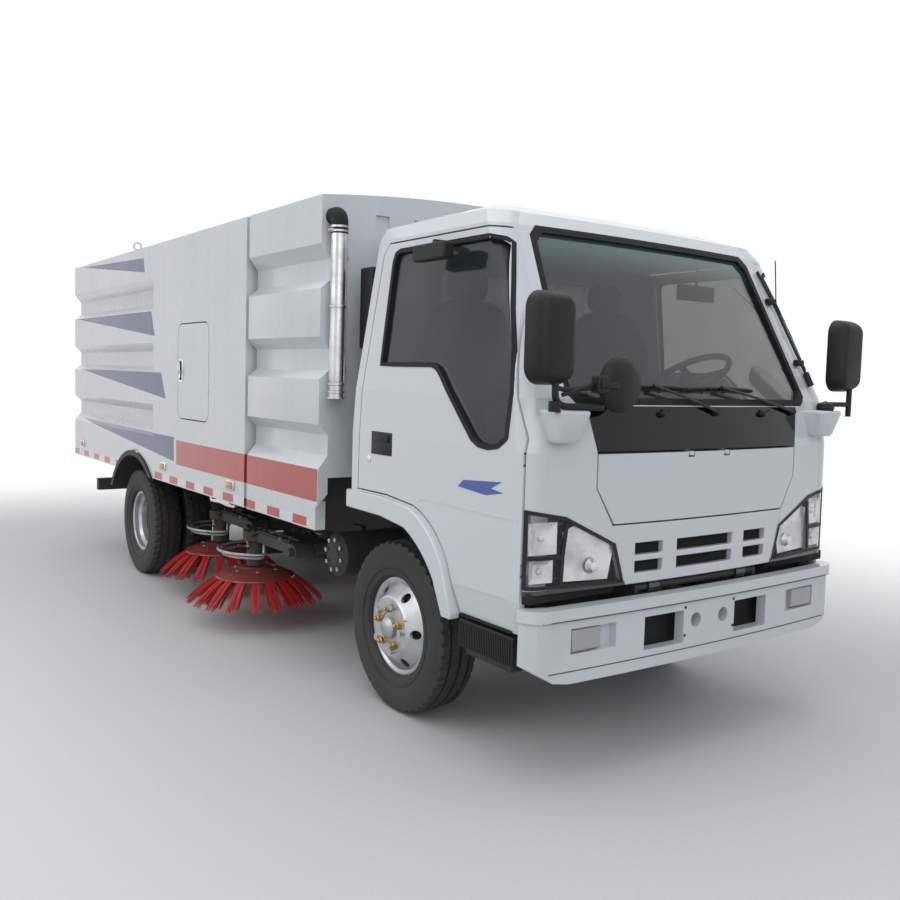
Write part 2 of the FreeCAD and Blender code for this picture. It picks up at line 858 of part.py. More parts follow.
def fuel_tank():
    """On the left rail: a round-cornered tank on two brackets."""
    near = s.frame_half_width + s.subframe_width / 2
    far = near + s.tank_width
    high = rail_top - s.bearing_gap
    low = high - s.tank_height
    corner = s.tank_height * 0.2
    tank = prism("XZ", [
        (near + corner, low), (far - corner, low), Through(far - corner * 0.3, low + corner * 0.3),
        (far, low + corner), (far, high - corner),
        Through(far - corner * 0.3, high - corner * 0.3), (far - corner, high),
        (near + corner, high), Through(near + corner * 0.3, high - corner * 0.3),
        (near, high - corner), (near, low + corner),
        Through(near + corner * 0.3, low + corner * 0.3),
    ], s.tank_front, s.tank_length)
    straps = []
    for share in (0.2, 0.7):
        y = s.tank_front + s.tank_length * share
        straps.append(block((s.frame_half_width + s.seat_gap, y, s.rail_bottom + s.rail_web),
                            (near + corner, y + s.rail_flange, rail_top - s.rail_height * 0.3)))
    neck = rod("Z", (far - corner * 2, s.tank_front + corner * 2, high - corner * 0.2),
               s.shaft_radius * 0.8, corner * 0.9)
    return union(tank, neck, *straps)


def air_tank():
    """On the right rail, across the frame, its domed end facing outwards."""
    end = -s.frame_half_width - s.seat_gap
    radius = s.air_tank_radius
    shell = turned([
        (-s.air_tank_length / 2, 0), (-s.air_tank_length / 2, radius * 0.75),
        (-s.air_tank_length / 2 + radius * 0.15, radius), (s.air_tank_length / 2, radius),
        (s.air_tank_length / 2, 0),
    ])
    place(shell, (end - s.air_tank_length / 2, s.air_tank_place, s.air_tank_level))
    return group(shell)


node("tanks", group(fuel_tank(), air_tank()))


# Front bumper: bowed in plan, with a ledge along its top and pockets in its face.
def bumper_outline(step, bow_in):
    """Its plan from one end to the other, outside then inside."""
    half = s.bumper_half_width - s.bumper_ledge_step + step
    corner = s.bumper_corner
    nose = s.front_overhang - s.bumper_ledge_step + step
    side = nose - s.bumper_bow
    wall = bow_in
    bend = corner * 0.3
    outer = [
        (-half, -s.bumper_end), (-half, -side + corner * 0.8),
        Through(-half + bend, -side + bend * 0.8), (-half + corner, -side),
        Through(0, -nose), (half - corner, -side),
        Through(half - bend, -side + bend * 0.8), (half, -side + corner * 0.8),
        (half, -s.bumper_end),
    ]
    inner = [
        (half - wall, -s.bumper_end), (half - wall, -side + corner * 0.7 + wall * 0.2),
        (half - corner - wall * 0.4, -side + wall), Through(0, -nose + wall),
        (-half + corner + wall * 0.4, -side + wall),
        (-half + wall, -side + corner * 0.7 + wall * 0.2), (-half + wall, -s.bumper_end),
    ]
    return outer + inner


def across(low_x, high_x, low_z, high_z, start, depth):
    """A square bar along Y, to cut a pocket or a hole with."""
    return block((low_x, start, low_z), (high_x, start + depth, high_z))


def front_bumper():
    nose = s.front_overhang
    lower = prism("XY", bumper_outline(0, s.bumper_wall), s.bumper_bottom,
                  s.bumper_ledge - s.bumper_bottom)
    ledge = prism("XY", bumper_outline(s.bumper_ledge_step, s.bumper_wall + s.bumper_ledge_step),
                  s.bumper_ledge, s.bumper_top - s.bumper_ledge)
    stays = []
    cuts = []
    pocket = s.bumper_wall * 0.6
    front = -nose - s.overrun
    for side in (-1, 1):
        x = (s.frame_half_width - s.rail_flange / 2) * side
        half = s.rail_flange / 2
        stays.append(block((x - half, -nose + s.bumper_wall * 0.8, s.rail_bottom),
                           (x + half, -s.rail_front - s.seat_gap,
                            s.rail_bottom + s.rail_height * 0.28)))
        ends = sorted([s.lamp_pocket_inner * side, s.lamp_pocket_outer * side], key=float)
        cuts.append(across(ends[0], ends[1], s.lamp_pocket_low, s.lamp_pocket_high, front,
                           s.overrun + s.bumper_bow + pocket))
        ends = sorted([s.tow_pocket_inner * side, s.tow_pocket_outer * side], key=float)
        cuts.append(across(ends[0], ends[1], s.tow_pocket_low, s.lamp_pocket_high, front,
                           s.overrun * 3))
        middle = (s.lamp_pocket_low + s.lamp_pocket_high) / 2
        cuts.append(rod("Y", (s.tow_hole_half * side, front, middle), s.tow_hole_radius,
                        s.overrun * 3))
        foot = s.bumper_half_width * side
        rise = s.bumper_end_bottom - s.bumper_bottom
        cuts.append(prism("XZ", [
            (foot * 1.1, s.bumper_bottom - s.overrun), (foot * 1.1, s.bumper_end_bottom),
            (foot, s.bumper_end_bottom), (foot * 0.88, s.bumper_bottom + rise * 0.15),
            (foot * 0.8, s.bumper_bottom), (foot * 0.8, s.bumper_bottom - s.overrun),
        ], front, nose))
    return cut(union(lower, ledge, *stays), group(*cuts))


def bumper_lamps():
    lamps = []
    pocket = s.bumper_wall * 0.6
    for side in (-1, 1):
        inner = s.lamp_pocket_inner + (s.lamp_pocket_outer - s.lamp_pocket_inner) * 0.3
        ends = sorted([inner * side, (s.lamp_pocket_outer - s.rim_wall) * side], key=float)
        face = -s.front_overhang + s.bumper_bow + pocket
        lamps.append(block((ends[0], face - s.bumper_wall * 0.5, s.lamp_pocket_low + s.rim_wall),
                           (ends[1], face - s.seat_gap, s.lamp_pocket_high - s.rim_wall)))
    return group(*lamps)


node("front_bumper", front_bumper())
node("bumper_lamps", bumper_lamps())


# Cab: level outlines from the sill to the roof, each moved in by the same wall.
def cab_outline(half, side_front, bend_half, bend_front, nose, rear, wall):
    """One level of the cab: straight sides, rounded front corners, a bowed front."""
    side = half - wall
    bend = bend_half - wall * 0.6
    side_y = -side_front + wall * 0.3
    bend_y = -bend_front + wall
    mid_x = side - (side - bend) * 0.29
    mid_y = side_y + (bend_y - side_y) * 0.71
    return [
        (-side, rear - wall), (-side, side_y), Through(-mid_x, mid_y), (-bend, bend_y),
        Through(0, -nose + wall), (bend, bend_y), Through(mid_x, mid_y), (side, side_y),
        (side, rear - wall),
    ]


def cab_levels(wall):
    """The cab's form as a solid, with its skin moved in by a wall."""
    half = s.cab_half_width
    nose = s.cab_front
    low = s.cab_rear
    top = s.header_half_width
    top_nose = nose - s.header_set_back
    rake = s.header_set_back * 0.08
    lean = s.cab_wall * 1.3
    corner = half * 0.11
    levels = [
        (s.cab_sill - s.overrun, half * 0.975, nose * 0.885, half * 0.86, nose * 0.95, nose * 0.985, low),
        (s.cab_sill + s.overrun * 2, half, nose * 0.895, half - corner, nose * 0.96, nose, low),
        (s.garnish_low, half, nose * 0.895, half - corner, nose * 0.957, nose, low),
        (s.belt_level, half * 0.992, nose * 0.868, half * 0.86, nose * 0.928, nose - rake, low - rake * 0.3),
        (s.header_level, top, top_nose * 0.9, top * 0.85, top_nose * 0.95, top_nose, low - lean),
        (s.roof_edge_level - wall, top * 0.965, top_nose * 0.83, top * 0.8, top_nose * 0.885,
         top_nose * 0.93, low - lean * 1.2),
        (s.roof_level - wall, top * 0.78, top_nose * 0.6, top * 0.6, top_nose * 0.66,
         top_nose * 0.7, low - lean * 2.2),
    ]
    if float(wall) > 0:
        levels[4] = (s.header_level - wall,) + levels[4][1:]
    return sections([(z, cab_outline(*numbers, wall)) for z, *numbers in levels])


ARCH_SHARES = [
    # (place along the arch's reach, height over its rise), from the foot to the crown
    (1.0, -0.02, 0.67, 0.0),
    (0.883, 0.445, 0.65, -0.76),
    (0.708, 0.75, 0.65, -0.95),
    (0.437, 0.95, 0.24, -1.04),
    (0.079, 1.0, 0.0, -1.0),
]


def arch_points(drop):
    """The cab's wheel arch, from its front foot over the wheel, and lower by a drop."""
    reach = s.cab_half_width * 0.615
    rise = s.arch_top - s.cab_sill
    points = []
    for along, up, back, down in ARCH_SHARES[1:]:
        points.append((-reach * along + drop * back, s.cab_sill + rise * up + drop * down))
    foot = (-reach + drop * ARCH_SHARES[0][2], s.cab_sill)
    knee, bend, shoulder, crown = points
    return [foot, knee, Through(*bend), shoulder, crown]


def cab_side_mask(lift, front_foot, nose_floor):
    """The cab's outline from the side: open above, shaped by sill and wheel arch below."""
    front = -s.cab_front - s.overrun
    rear = s.cab_rear + s.overrun
    roof = s.roof_level + s.overrun
    outline = [(front, nose_floor), (front_foot, nose_floor), (front_foot, s.cab_sill + lift)]
    arch = arch_points(-lift)
    outline += [(arch[0][0], s.cab_sill + lift)] + arch[1:]
    outline += [(rear, arch[-1][1]), (rear, roof), (front, roof)]
    half = s.cab_half_width + s.overrun
    return prism("YZ", outline, -half, half * 2)


DOOR_TOP_SHARES = [(0.967, 0.965), (0.72, 1.0), (-0.62, 0.997), (-0.66, 0.985)]


def door_outline(grow):
    """A door's edge from the side, moved out by a gap."""
    front = -s.door_front - grow
    arch = arch_points(grow - s.door_gap * 1.5)
    top = s.header_level - s.cab_wall * 0.5
    return [
        (front, s.cab_sill - grow), (arch[0][0] - s.door_gap * 1.5 + grow, s.cab_sill - grow),
        *arch[1:], (s.door_rear + grow, arch[-1][1]),
        (s.door_rear + grow - s.cab_wall * 0.2, s.belt_level),
        (s.door_rear + grow - s.cab_wall * 1.2, top - s.cab_wall),
        (s.door_rear - s.cab_wall * 2, top + grow),
        (-s.cab_front * 0.62 - grow, top + grow),
        (-s.cab_front * 0.69 - grow, top - s.cab_wall * 1.6),
        (front, s.belt_level * 0.9),
    ]


def window_outline():
    """The side window: its sill steps down towards the windscreen."""
    sill = s.belt_level * 1.083
    low = s.belt_level * 0.872
    top = s.header_level * 0.969
    nose = s.cab_front
    return [
        (nose * 0.045, sill), (-nose * 0.335, sill), Through(-nose * 0.372, sill * 0.992),
        (-nose * 0.405, sill * 0.975), (-nose * 0.64, low * 1.02), Through(-nose * 0.735, low),
        (-nose * 0.832, low * 1.03), (-nose * 0.85, s.belt_level * 1.045), (-nose * 0.655, top * 0.985),
        Through(-nose * 0.635, top * 0.996), (-nose * 0.6, top), (nose * 0.01, top),
        Through(nose * 0.038, top * 0.995), (nose * 0.047, top * 0.98),
    ]


def side_slab(side, outline):
    """A side view outline run through one side of the cab."""
    start = s.cab_half_width * 0.8 if side > 0 else -(s.cab_half_width + s.overrun)
    return prism("YZ", outline, start, s.cab_half_width * 0.2 + s.overrun)


def front_slab(outline, back):
    """A front view outline run through the front of the cab, as far as a plane."""
    front = -s.cab_front - s.overrun
    return prism("XZ", outline, front, s.cab_front + s.overrun - back)


def across_pair(points):
    """An outline given for the left half, closed with its mirror image."""
    return points + [(-u, w) for u, w in reversed(points)]


skin = cab_levels(0)
lining = cab_levels(s.cab_wall)
door_lining = cab_levels(s.cab_wall + s.door_gap)
glass_face = cab_levels(s.glass_wall * 2)
glass_back = cab_levels(s.glass_wall * 3)
panel_back = cab_levels(s.glass_wall * 5)
lamp_back = cab_levels(s.cab_wall * 1.6)
firewall = -s.cab_front + s.cab_wall * 3.6
bay_back = firewall - s.cab_wall * 0.8
floor_rise = s.cab_wall


def windscreen_outline(grow):
    low = s.belt_level + s.glass_wall
    high = s.header_level - s.cab_wall * 0.5
    foot = s.header_half_width * 0.84
    head = s.header_half_width * 0.77
    round_off = s.cab_wall
    left = [
        (foot - round_off + grow, low - grow), (foot + grow, low + round_off - grow),
        (head + grow, high - round_off + grow), (head - round_off + grow, high + grow),
    ]
    return across_pair(left)


lid_half_low = s.cab_half_width * 0.562
lid_half_high = s.cab_half_width * 0.656


def lid_outline(shrink):
    """The lid from the front: its sides stand upright near the hinge, so that it can swing."""
    return across_pair([(lid_half_low - shrink, s.lid_low + shrink),
                        (lid_half_high - shrink, s.garnish_low - s.cab_wall * 3.2),
                        (lid_half_high - shrink, s.garnish_low - shrink * 1.2)])


garnish_outline = across_pair([(lid_half_high, s.garnish_low),
                               (lid_half_high * 1.06, s.belt_level - s.cab_wall * 0.6)])
grille_outline = across_pair([(lid_half_low * 0.86, s.cab_nose_bottom - s.bearing_gap),
                              (lid_half_low, s.lid_low)])


def lamp_outline(side):
    """A headlamp from the front: tall at the door, low beside the grille."""
    low = s.cab_nose_bottom
    outer = s.cab_half_width + s.overrun
    points = [
        (outer, low + s.cab_wall * 0.5), (outer, s.lid_low + s.cab_wall * 2.2),
        (s.cab_half_width * 0.8, s.lid_low + s.cab_wall * 1.1),
        (lid_half_low * 0.97, s.lid_low - s.cab_wall * 1.6),
        (lid_half_low * 0.88, low + s.cab_wall * 0.25),
    ]
    return [(u * side, w) for u, w in points]


door_hinge_x = s.cab_half_width - s.cab_wall * 0.52
door_hinge_y = -s.door_front + s.cab_wall * 0.31
door_hinge_levels = [s.cab_nose_bottom + s.cab_wall * 1.6, s.garnish_low - s.cab_wall]


def door_hinge_lugs(side):
    """Two lugs of the cab that a door's pins turn in, and the bores for the pins."""
    x = door_hinge_x * side
    made = []
    bores = []
    for level in door_hinge_levels:
        ends = sorted([x, (s.cab_half_width - s.cab_wall * 2) * side], key=float)
        arm = block((ends[0], door_hinge_y - s.hinge_lug_radius, level),
                    (ends[1], door_hinge_y + s.hinge_lug_radius, level + s.hinge_lug_height))
        eye = rod("Z", (x, door_hinge_y, level), s.hinge_lug_radius, s.hinge_lug_height)
        made += [arm, eye]
        bores.append(rod("Z", (x, door_hinge_y, level - s.overrun), s.hinge_pin_radius + s.seat_gap,
                         s.hinge_lug_height + s.overrun * 2))
    return made, bores


def door_hinge_pins(side):
    """The pins fixed in a door, and the notches behind its skin that its lugs stand in."""
    x = door_hinge_x * side
    pins = []
    notches = []
    for level in door_hinge_levels:
        low = level - s.running_gap
        high = level + s.hinge_lug_height + s.running_gap
        ends = sorted([x + s.hinge_lug_radius * 1.2 * side, (s.cab_half_width - s.cab_wall * 2) * side],
                      key=float)
        notches.append(block((ends[0], -s.door_front - s.overrun, low),
                             (ends[1], door_hinge_y + s.hinge_lug_radius * 2, high)))
        pins.append(rod("Z", (x, door_hinge_y, low - s.running_gap), s.hinge_pin_radius,
                        s.hinge_lug_height + s.running_gap * 4))
    return pins, notches


def inner_limit(side, limit, back):
    """Keeps the front edge of a door, or of its opening, from running inwards round the corner."""
    ends = sorted([s.cab_half_width * 0.75 * side, limit * side], key=float)
    return block((ends[0], -s.cab_front, s.cab_sill - s.overrun),
                 (ends[1], -s.door_front + back, s.belt_level))


def kerb_mirror():
    """A small mirror that looks down the kerb, on a bracket from the right door's top rail."""
    half = s.cab_half_width
    x = -s.header_half_width - s.cab_wall * 1.6
    y = -s.cab_front * 0.34
    level = s.header_level * 0.955
    rail_low = s.header_level - s.cab_wall * 2
    rail_high = s.header_level - s.cab_wall * 1.2
    head = block((x - s.cab_wall, y - half * 0.12, level - s.cab_wall),
                 (x + s.cab_wall * 0.2, y + half * 0.12, level + s.cab_wall * 0.6))
    post = block((x - s.cab_wall * 0.4, y - half * 0.01, level), (x, y + half * 0.01, rail_high))
    foot = cut(block((x - s.cab_wall * 0.4, y - half * 0.01, rail_low),
                     (-s.header_half_width * 0.9, y + half * 0.01, rail_high)), skin)
    return union(head, post, foot)


def door(side, name):
    outline = door_outline(0)
    pins, notches = door_hinge_pins(side)
    panel = overlap(skin, side_slab(side, outline))
    window = side_slab(side, window_outline())
    recess_y = -s.cab_front * 0.035
    recess = s.cab_wall * 1.1
    outer = s.cab_half_width * side
    level = s.cab_half_width * 1.29
    ends = sorted([outer - s.cab_wall * 0.55 * side, outer + s.overrun * side], key=float)
    handle_cut = block((ends[0], recess_y - recess, level - recess),
                       (ends[1], recess_y + recess, level + recess))
    limit = s.cab_half_width - s.cab_wall * 0.95
    inside = inner_limit(side, limit, s.cab_wall * 2)
    shell = union(cut(panel, lining, inside, group(window, handle_cut), *notches), *pins)
    ends = sorted([outer - s.cab_wall * 0.53 * side, outer - s.glass_wall * side], key=float)
    handle = block((ends[0], recess_y - recess + s.glass_wall, level + s.glass_wall),
                   (ends[1], recess_y + recess - s.glass_wall, level + recess - s.glass_wall))
    node("door_" + name, shell)
    fittings = [handle, kerb_mirror()] if side < 0 else [handle]
    node("door_fittings_" + name, group(*fittings))
    pane = cut(overlap(glass_face, side_slab(side, window_outline())), glass_back)
    node("door_glass_" + name, pane)
    opening = side_slab(side, door_outline(s.door_gap))
    jamb = s.cab_wall * 1.2
    return cut(opening, door_lining, inner_limit(side, limit - s.running_gap * 1.6, jamb))


door_openings = [door(-1, "right"), door(1, "left")]
cavity_cut = [
    block((-s.frame_half_width - s.overrun - s.cab_wall, -s.cab_front, s.cab_sill - s.overrun),
          (s.frame_half_width + s.overrun + s.cab_wall, s.cab_rear + s.overrun,
           s.cab_nose_bottom + s.cab_wall * 2.2)),
    block((-s.tunnel_half_width - s.cab_wall, -s.cab_front * 0.56, s.cab_sill - s.overrun),
          (s.tunnel_half_width + s.cab_wall, s.cab_rear + s.overrun, s.tunnel_level + s.cab_wall)),
]
cavity = cut(overlap(lining, cab_side_mask(floor_rise, firewall, s.garnish_low + s.cab_wall)),
             group(union(*cavity_cut)))
bay = overlap(panel_back, block((-s.cab_half_width * 0.86, -s.cab_front - s.overrun, s.cab_sill),
                                (s.cab_half_width * 0.86, bay_back, s.garnish_low - s.cab_wall * 0.5)))
clearances = [
    block((-s.frame_half_width - s.overrun, -s.rail_front - s.cab_wall * 0.6, s.cab_sill - s.overrun * 2),
          (s.frame_half_width + s.overrun, s.cab_rear + s.overrun, s.cab_nose_bottom + s.cab_wall * 1.2)),
    block((-s.tunnel_half_width, -s.cab_front * 0.53, s.cab_sill - s.overrun),
          (s.tunnel_half_width, s.cab_rear + s.overrun, s.tunnel_level)),
]
lamp_rear = s.door_front + s.door_gap
lamp_slabs = [front_slab(lamp_outline(side), lamp_rear) for side in (-1, 1)]
rear_half = s.header_half_width * 0.62
rear_low = s.belt_level * 1.08
rear_high = s.header_level * 0.95
rear_hole = block((-rear_half, s.cab_rear - s.cab_wall * 4, rear_low),
                  (rear_half, s.cab_rear + s.overrun, rear_high))
bridge_low = rail_top + s.guard_gap / 2
bridge_high = s.cab_nose_bottom + s.cab_wall * 1.5
lugs = [block((-s.frame_half_width - s.overrun, tilt_y + s.guard_gap / 2, bridge_low),
              (s.frame_half_width + s.overrun, bay_back + s.guard_gap, bridge_high))]
bores = [rod("X", (-s.frame_half_width, tilt_y, tilt_z), s.kingpin_radius + s.bearing_gap,
             s.frame_half_width * 2)]
lug_half = s.subframe_width / 2
for side in (-1, 1):
    x = s.frame_half_width * 0.72 * side
    lugs.append(block((x - lug_half, tilt_y - s.guard_gap / 2, tilt_z),
                      (x + lug_half, tilt_y + s.tilt_lug_radius, bridge_high)))
    lugs.append(rod("X", (x - lug_half, tilt_y, tilt_z), s.tilt_lug_radius, s.subframe_width))
    made, bored = door_hinge_lugs(side)
    lugs += made
    bores += bored
lid_hinge_y = -s.cab_front + s.glass_wall
lid_hinge_z = s.garnish_low - s.door_gap * 2
lid_pins = []
lid_notches = []
for side in (-1, 1):
    x = s.cab_half_width * 0.118 * side
    half = s.hinge_lug_height / 3
    reach = s.hinge_lug_radius
    lugs.append(block((x - half, -s.cab_front + s.bearing_gap * 1.4, lid_hinge_z - reach),
                      (x + half, -s.cab_front + s.cab_wall, lid_hinge_z + reach)))
    lugs.append(block((x - half, -s.cab_front + s.glass_wall * 4.2, lid_hinge_z - reach),
                      (x + half, -s.cab_front + s.cab_wall, lid_hinge_z + s.cab_wall)))
    pin = s.hinge_pin_radius * 0.75
    bores.append(rod("X", (x - half * 2, lid_hinge_y, lid_hinge_z), pin + s.seat_gap, half * 4))
    lid_pins.append(rod("X", (x - half * 2, lid_hinge_y, lid_hinge_z), pin, half * 4))
    lid_notches.append(block((x - half - s.running_gap, -s.cab_front - s.overrun, lid_hinge_z - reach * 2),
                             (x + half + s.running_gap, -s.cab_front + s.cab_wall * 2, s.garnish_low)))
hull = overlap(skin, cab_side_mask(0, -s.door_front + s.cab_wall * 0.4, s.cab_nose_bottom))
shell_cuts = clearances + door_openings + lamp_slabs + [
    cavity, bay, rear_hole,
    front_slab(windscreen_outline(s.cab_wall * 0.65), s.cab_front * 0.5),
    front_slab(lid_outline(0), s.cab_front * 0.88),
    cut(front_slab(garnish_outline, s.cab_front * 0.88), glass_back),
    front_slab(grille_outline, s.cab_front * 0.88),
]
shell = cut(hull, group(*shell_cuts))
node("cab_shell", cut(union(shell, *lugs), group(*bores)))

screen_slab = front_slab(windscreen_outline(0), s.cab_front * 0.5)
panes = cut(overlap(glass_face, union(screen_slab, rear_hole)), glass_back)
node("cab_glass", panes)
seal_band = overlap(skin, front_slab(windscreen_outline(s.cab_wall * 0.65), s.cab_front * 0.5))
node("windscreen_seal", cut(seal_band, group(panel_back, screen_slab)))
lid_skin = overlap(skin, front_slab(lid_outline(s.door_gap), s.cab_front * 0.88))
node("front_lid", union(cut(lid_skin, panel_back, *lid_notches), *lid_pins))
node("garnish_panel", cut(overlap(skin, front_slab(garnish_outline, s.cab_front * 0.88)), glass_back))


def headlamp(side):
    return cut(overlap(skin, front_slab(lamp_outline(side), lamp_rear)), lamp_back)


node("headlamps", mirrored_pair(headlamp))
# Openings in the grille: half widths from the middle, each crossed by one bar.
GRILLE_OPENING_SHARES = [(-0.77, -0.48), (-0.33, 0.33), (0.48, 0.77)]


def grille_panel():
    panel = cut(overlap(skin, front_slab(grille_outline, s.cab_front * 0.88)), panel_back)
    rise = s.lid_low - s.cab_nose_bottom
    low = s.cab_nose_bottom + rise * 0.17
    high = s.lid_low - rise * 0.32
    bar = rise * 0.1
    middle = (low + high) / 2
    openings = []
    for left, right in GRILLE_OPENING_SHARES:
        for bottom, top in ((low, middle - bar / 2), (middle + bar / 2, high)):
            openings.append(block((lid_half_low * left, -s.cab_front - s.overrun, bottom),
                                  (lid_half_low * right, -s.cab_front + s.overrun * 2, top)))
    return cut(panel, group(*openings))


node("grille_panel", grille_panel())


def arch_trim(side):
    """The flare above a front wheel, standing proud of the cab's side."""
    proud = s.cab_wall * 0.7
    start = s.cab_half_width - s.cab_wall * 0.5 if side > 0 else -s.cab_half_width - proud
    upper = arch_points(0)
    lower = arch_points(s.arch_drop)
    rear = s.cab_rear + s.seat_gap
    outline = upper + [(rear, s.arch_top), (rear, s.arch_top - s.arch_drop * 0.95)]
    outline += [lower[4], lower[3], lower[2], lower[1], (lower[0][0], s.cab_sill - s.cab_wall * 0.5),
                (upper[0][0], s.cab_sill - s.cab_wall * 0.5)]
    return prism("YZ", outline, start, proud + s.cab_wall * 0.5)


node("wheel_arch_trims", mirrored_pair(arch_trim))


def step(side):
    """Tread and valance below a door, hung from the cab's sill."""
    front = -s.door_front + s.cab_wall * 0.5
    rear = -s.cab_half_width * 0.615 - s.cab_wall * 0.4
    top = s.cab_sill - s.running_gap * 2
    deep = s.cab_sill * 0.22
    near = s.cab_half_width * 0.74
    far = s.cab_half_width * 0.995
    outline = [(front, top - deep), (front, top), (rear, top), (rear - deep * 0.45, top - deep)]
    start = near if side > 0 else -far
    body = prism("YZ", outline, start, far - near)
    inner = sorted([(near + s.cab_wall) * side, (far - s.cab_wall * 0.4) * side], key=float)
    hollow = block((inner[0], front + s.cab_wall * 0.4, top - deep - s.overrun),
                   (inner[1], rear - deep * 0.5, top - deep * 0.2))
    hanger = sorted([near * side, (near + s.cab_wall * 0.8) * side], key=float)
    strap = block((hanger[0], front + s.cab_wall, top - deep * 0.3),
                  (hanger[1], front + s.cab_wall * 2, s.cab_sill - s.seat_gap))
    return union(cut(body, hollow), strap)


node("cab_steps", mirrored_pair(step))


def dashboard():
    half = s.cab_half_width - s.cab_wall * 1.6
    front = firewall + s.seat_gap
    top = s.belt_level - s.cab_wall * 0.8
    outline = [
        (front, s.belt_level * 0.76), (front, top - s.cab_wall * 1.2), (front + s.cab_wall, top),
        (front + s.cab_wall * 3.5, top + s.cab_wall * 0.6), (front + s.cab_wall * 5.5, top - s.cab_wall),
        (front + s.cab_wall * 4.5, s.belt_level * 0.8),
    ]
    return prism("YZ", outline, -half, half * 2)


seat_floor = s.tunnel_level + s.cab_wall + s.seat_gap
seat_width = s.cab_half_width * 0.52
seat_side = s.cab_half_width * 0.48


def seat(side, width):
    """Cushion, back and head rest on a pedestal: one soft solid."""
    x = seat_side * side - width / 2
    rear = s.cab_rear - s.cab_wall * 2.2
    cushion = s.cab_half_width * 0.3
    back = s.cab_half_width * 0.62
    thick = s.cab_wall * 3
    front = rear - s.cab_half_width * 0.6
    top = seat_floor + cushion
    outline = [
        (front + thick * 0.6, seat_floor), (front, top - thick), (front + thick * 0.3, top),
        (rear - thick * 1.6, top - thick * 0.2), (rear - thick * 1.1, top + back),
        (rear - thick * 0.3, top + back), (rear - thick * 0.2, seat_floor),
    ]
    body = prism("YZ", outline, x, width)
    rest = block((x + width * 0.25, rear - thick * 1.05, top + back - s.cab_wall * 0.3),
                 (x + width * 0.75, rear - thick * 0.4, top + back + s.cab_wall * 3.2))
    return union(body, rest)


node("seats", group(seat(1, seat_width), seat(-1, seat_width)))
wheel_y = -s.cab_front * 0.5
wheel_z = s.belt_level * 1.06
wheel_tilt = s.wheel_tilt


def steering_wheel():
    """A rim, three spokes and a boss, turning about the column's own line."""
    rim = doc.addObject("Part::Torus", "rim")
    ring = s.cab_half_width * 0.22
    grip = s.cab_wall * 0.34
    bind(rim, "Radius1", ring)
    bind(rim, "Radius2", grip)
    boss = rod("Z", (0, 0, -grip * 3), s.cab_wall, grip * 4)
    spokes = []
    for angle in (90, 210, 330):
        spoke = doc.addObject("Part::Box", "spoke")
        bind(spoke, "Length", ring)
        bind(spoke, "Width", grip * 2)
        bind(spoke, "Height", grip)
        spokes.append(place(spoke, (0, 0, -grip / 2), angle))
    bore = rod("Z", (0, 0, -grip * 4), s.kingpin_radius, grip * 3)
    return cut(union(rim, boss, *spokes), bore)


node("steering_wheel", steering_wheel(), (seat_side, wheel_y, wheel_z), -wheel_tilt, V(1, 0, 0))


def steering_column():
    """From the floor to just inside the wheel's boss."""
    reach = s.cab_half_width * 0.5
    column = rod("Z", (0, 0, -reach), s.kingpin_radius - s.bearing_gap, reach - s.cab_wall * 0.6)
    shroud = rod("Z", (0, 0, -reach), s.cab_wall, reach - s.cab_wall * 2.4)
    return place(union(column, shroud), (seat_side, wheel_y, wheel_z), -wheel_tilt, V(1, 0, 0))


node("dashboard", union(dashboard(), steering_column()))
mirror_y = -s.cab_front + s.cab_wall * 0.3


def mirror_set(side):
    """Main mirror on its arm, and on the right a round one that looks down the front."""
    half = s.cab_half_width
    head_x = half * 0.925
    low = s.belt_level * 1.045
    high = s.belt_level * 1.245
    thick = s.cab_wall * 1.7
    wide = half * 0.14
    corner = wide * 0.35
    head = prism("XZ", [
        (head_x * side - wide + corner, low), (head_x * side + wide - corner, low),
        (head_x * side + wide, low + corner), (head_x * side + wide, high - corner),
        (head_x * side + wide - corner, high), (head_x * side - wide + corner, high),
        (head_x * side - wide, high - corner), (head_x * side - wide, low + corner),
    ], mirror_y - thick, thick)
    arm_level_here = s.belt_level * 0.97
    post_x = head_x * side
    tube = s.kingpin_radius * 0.7
    post = rod("Z", (post_x, mirror_y - thick / 2, arm_level_here), tube, low - arm_level_here + corner)
    reach = half * 0.4 if side < 0 else half * 0.14
    start = post_x if side < 0 else post_x - reach
    arm = rod("X", (start, mirror_y - thick / 2, arm_level_here), tube, reach)
    cup_x = half * 0.86 * side
    cup = prism("XZ", [
        (cup_x - wide * 0.35, arm_level_here - half * 0.12),
        (cup_x + wide * 0.35, arm_level_here - half * 0.12),
        (cup_x + wide * 0.55, arm_level_here), (cup_x - wide * 0.55, arm_level_here),
    ], mirror_y - thick * 0.8, s.cab_wall * 3.1)
    items = [head, post, arm, cut(cup, skin)]
    if side < 0:
        items.append(rod("Y", (half * -0.59, mirror_y - thick, s.belt_level * 1.037),
                         half * 0.093, thick * 0.6))
        items.append(rod("Z", (half * -0.56, mirror_y - thick / 2, arm_level_here), tube,
                         s.belt_level * 0.03))
    return union(*items)


node("mirrors", mirrored_pair(mirror_set))


def intake_duct():
    """A snorkel up the back of the cab, on its right side."""
    x = -s.cab_half_width * 0.83
    wide = s.cab_half_width * 0.16
    rear = s.cab_rear + s.seat_gap
    head = block((x - wide / 2, rear, s.belt_level * 1.13),
                 (x + wide / 2, rear + s.cab_wall * 2.6, s.belt_level * 1.39))
    duct = block((x - wide * 0.35, rear, s.arch_top + s.cab_wall),
                 (x + wide * 0.35, rear + s.cab_wall * 1.6, s.belt_level * 1.14))
    return union(head, duct)


node("air_intake_duct", intake_duct())

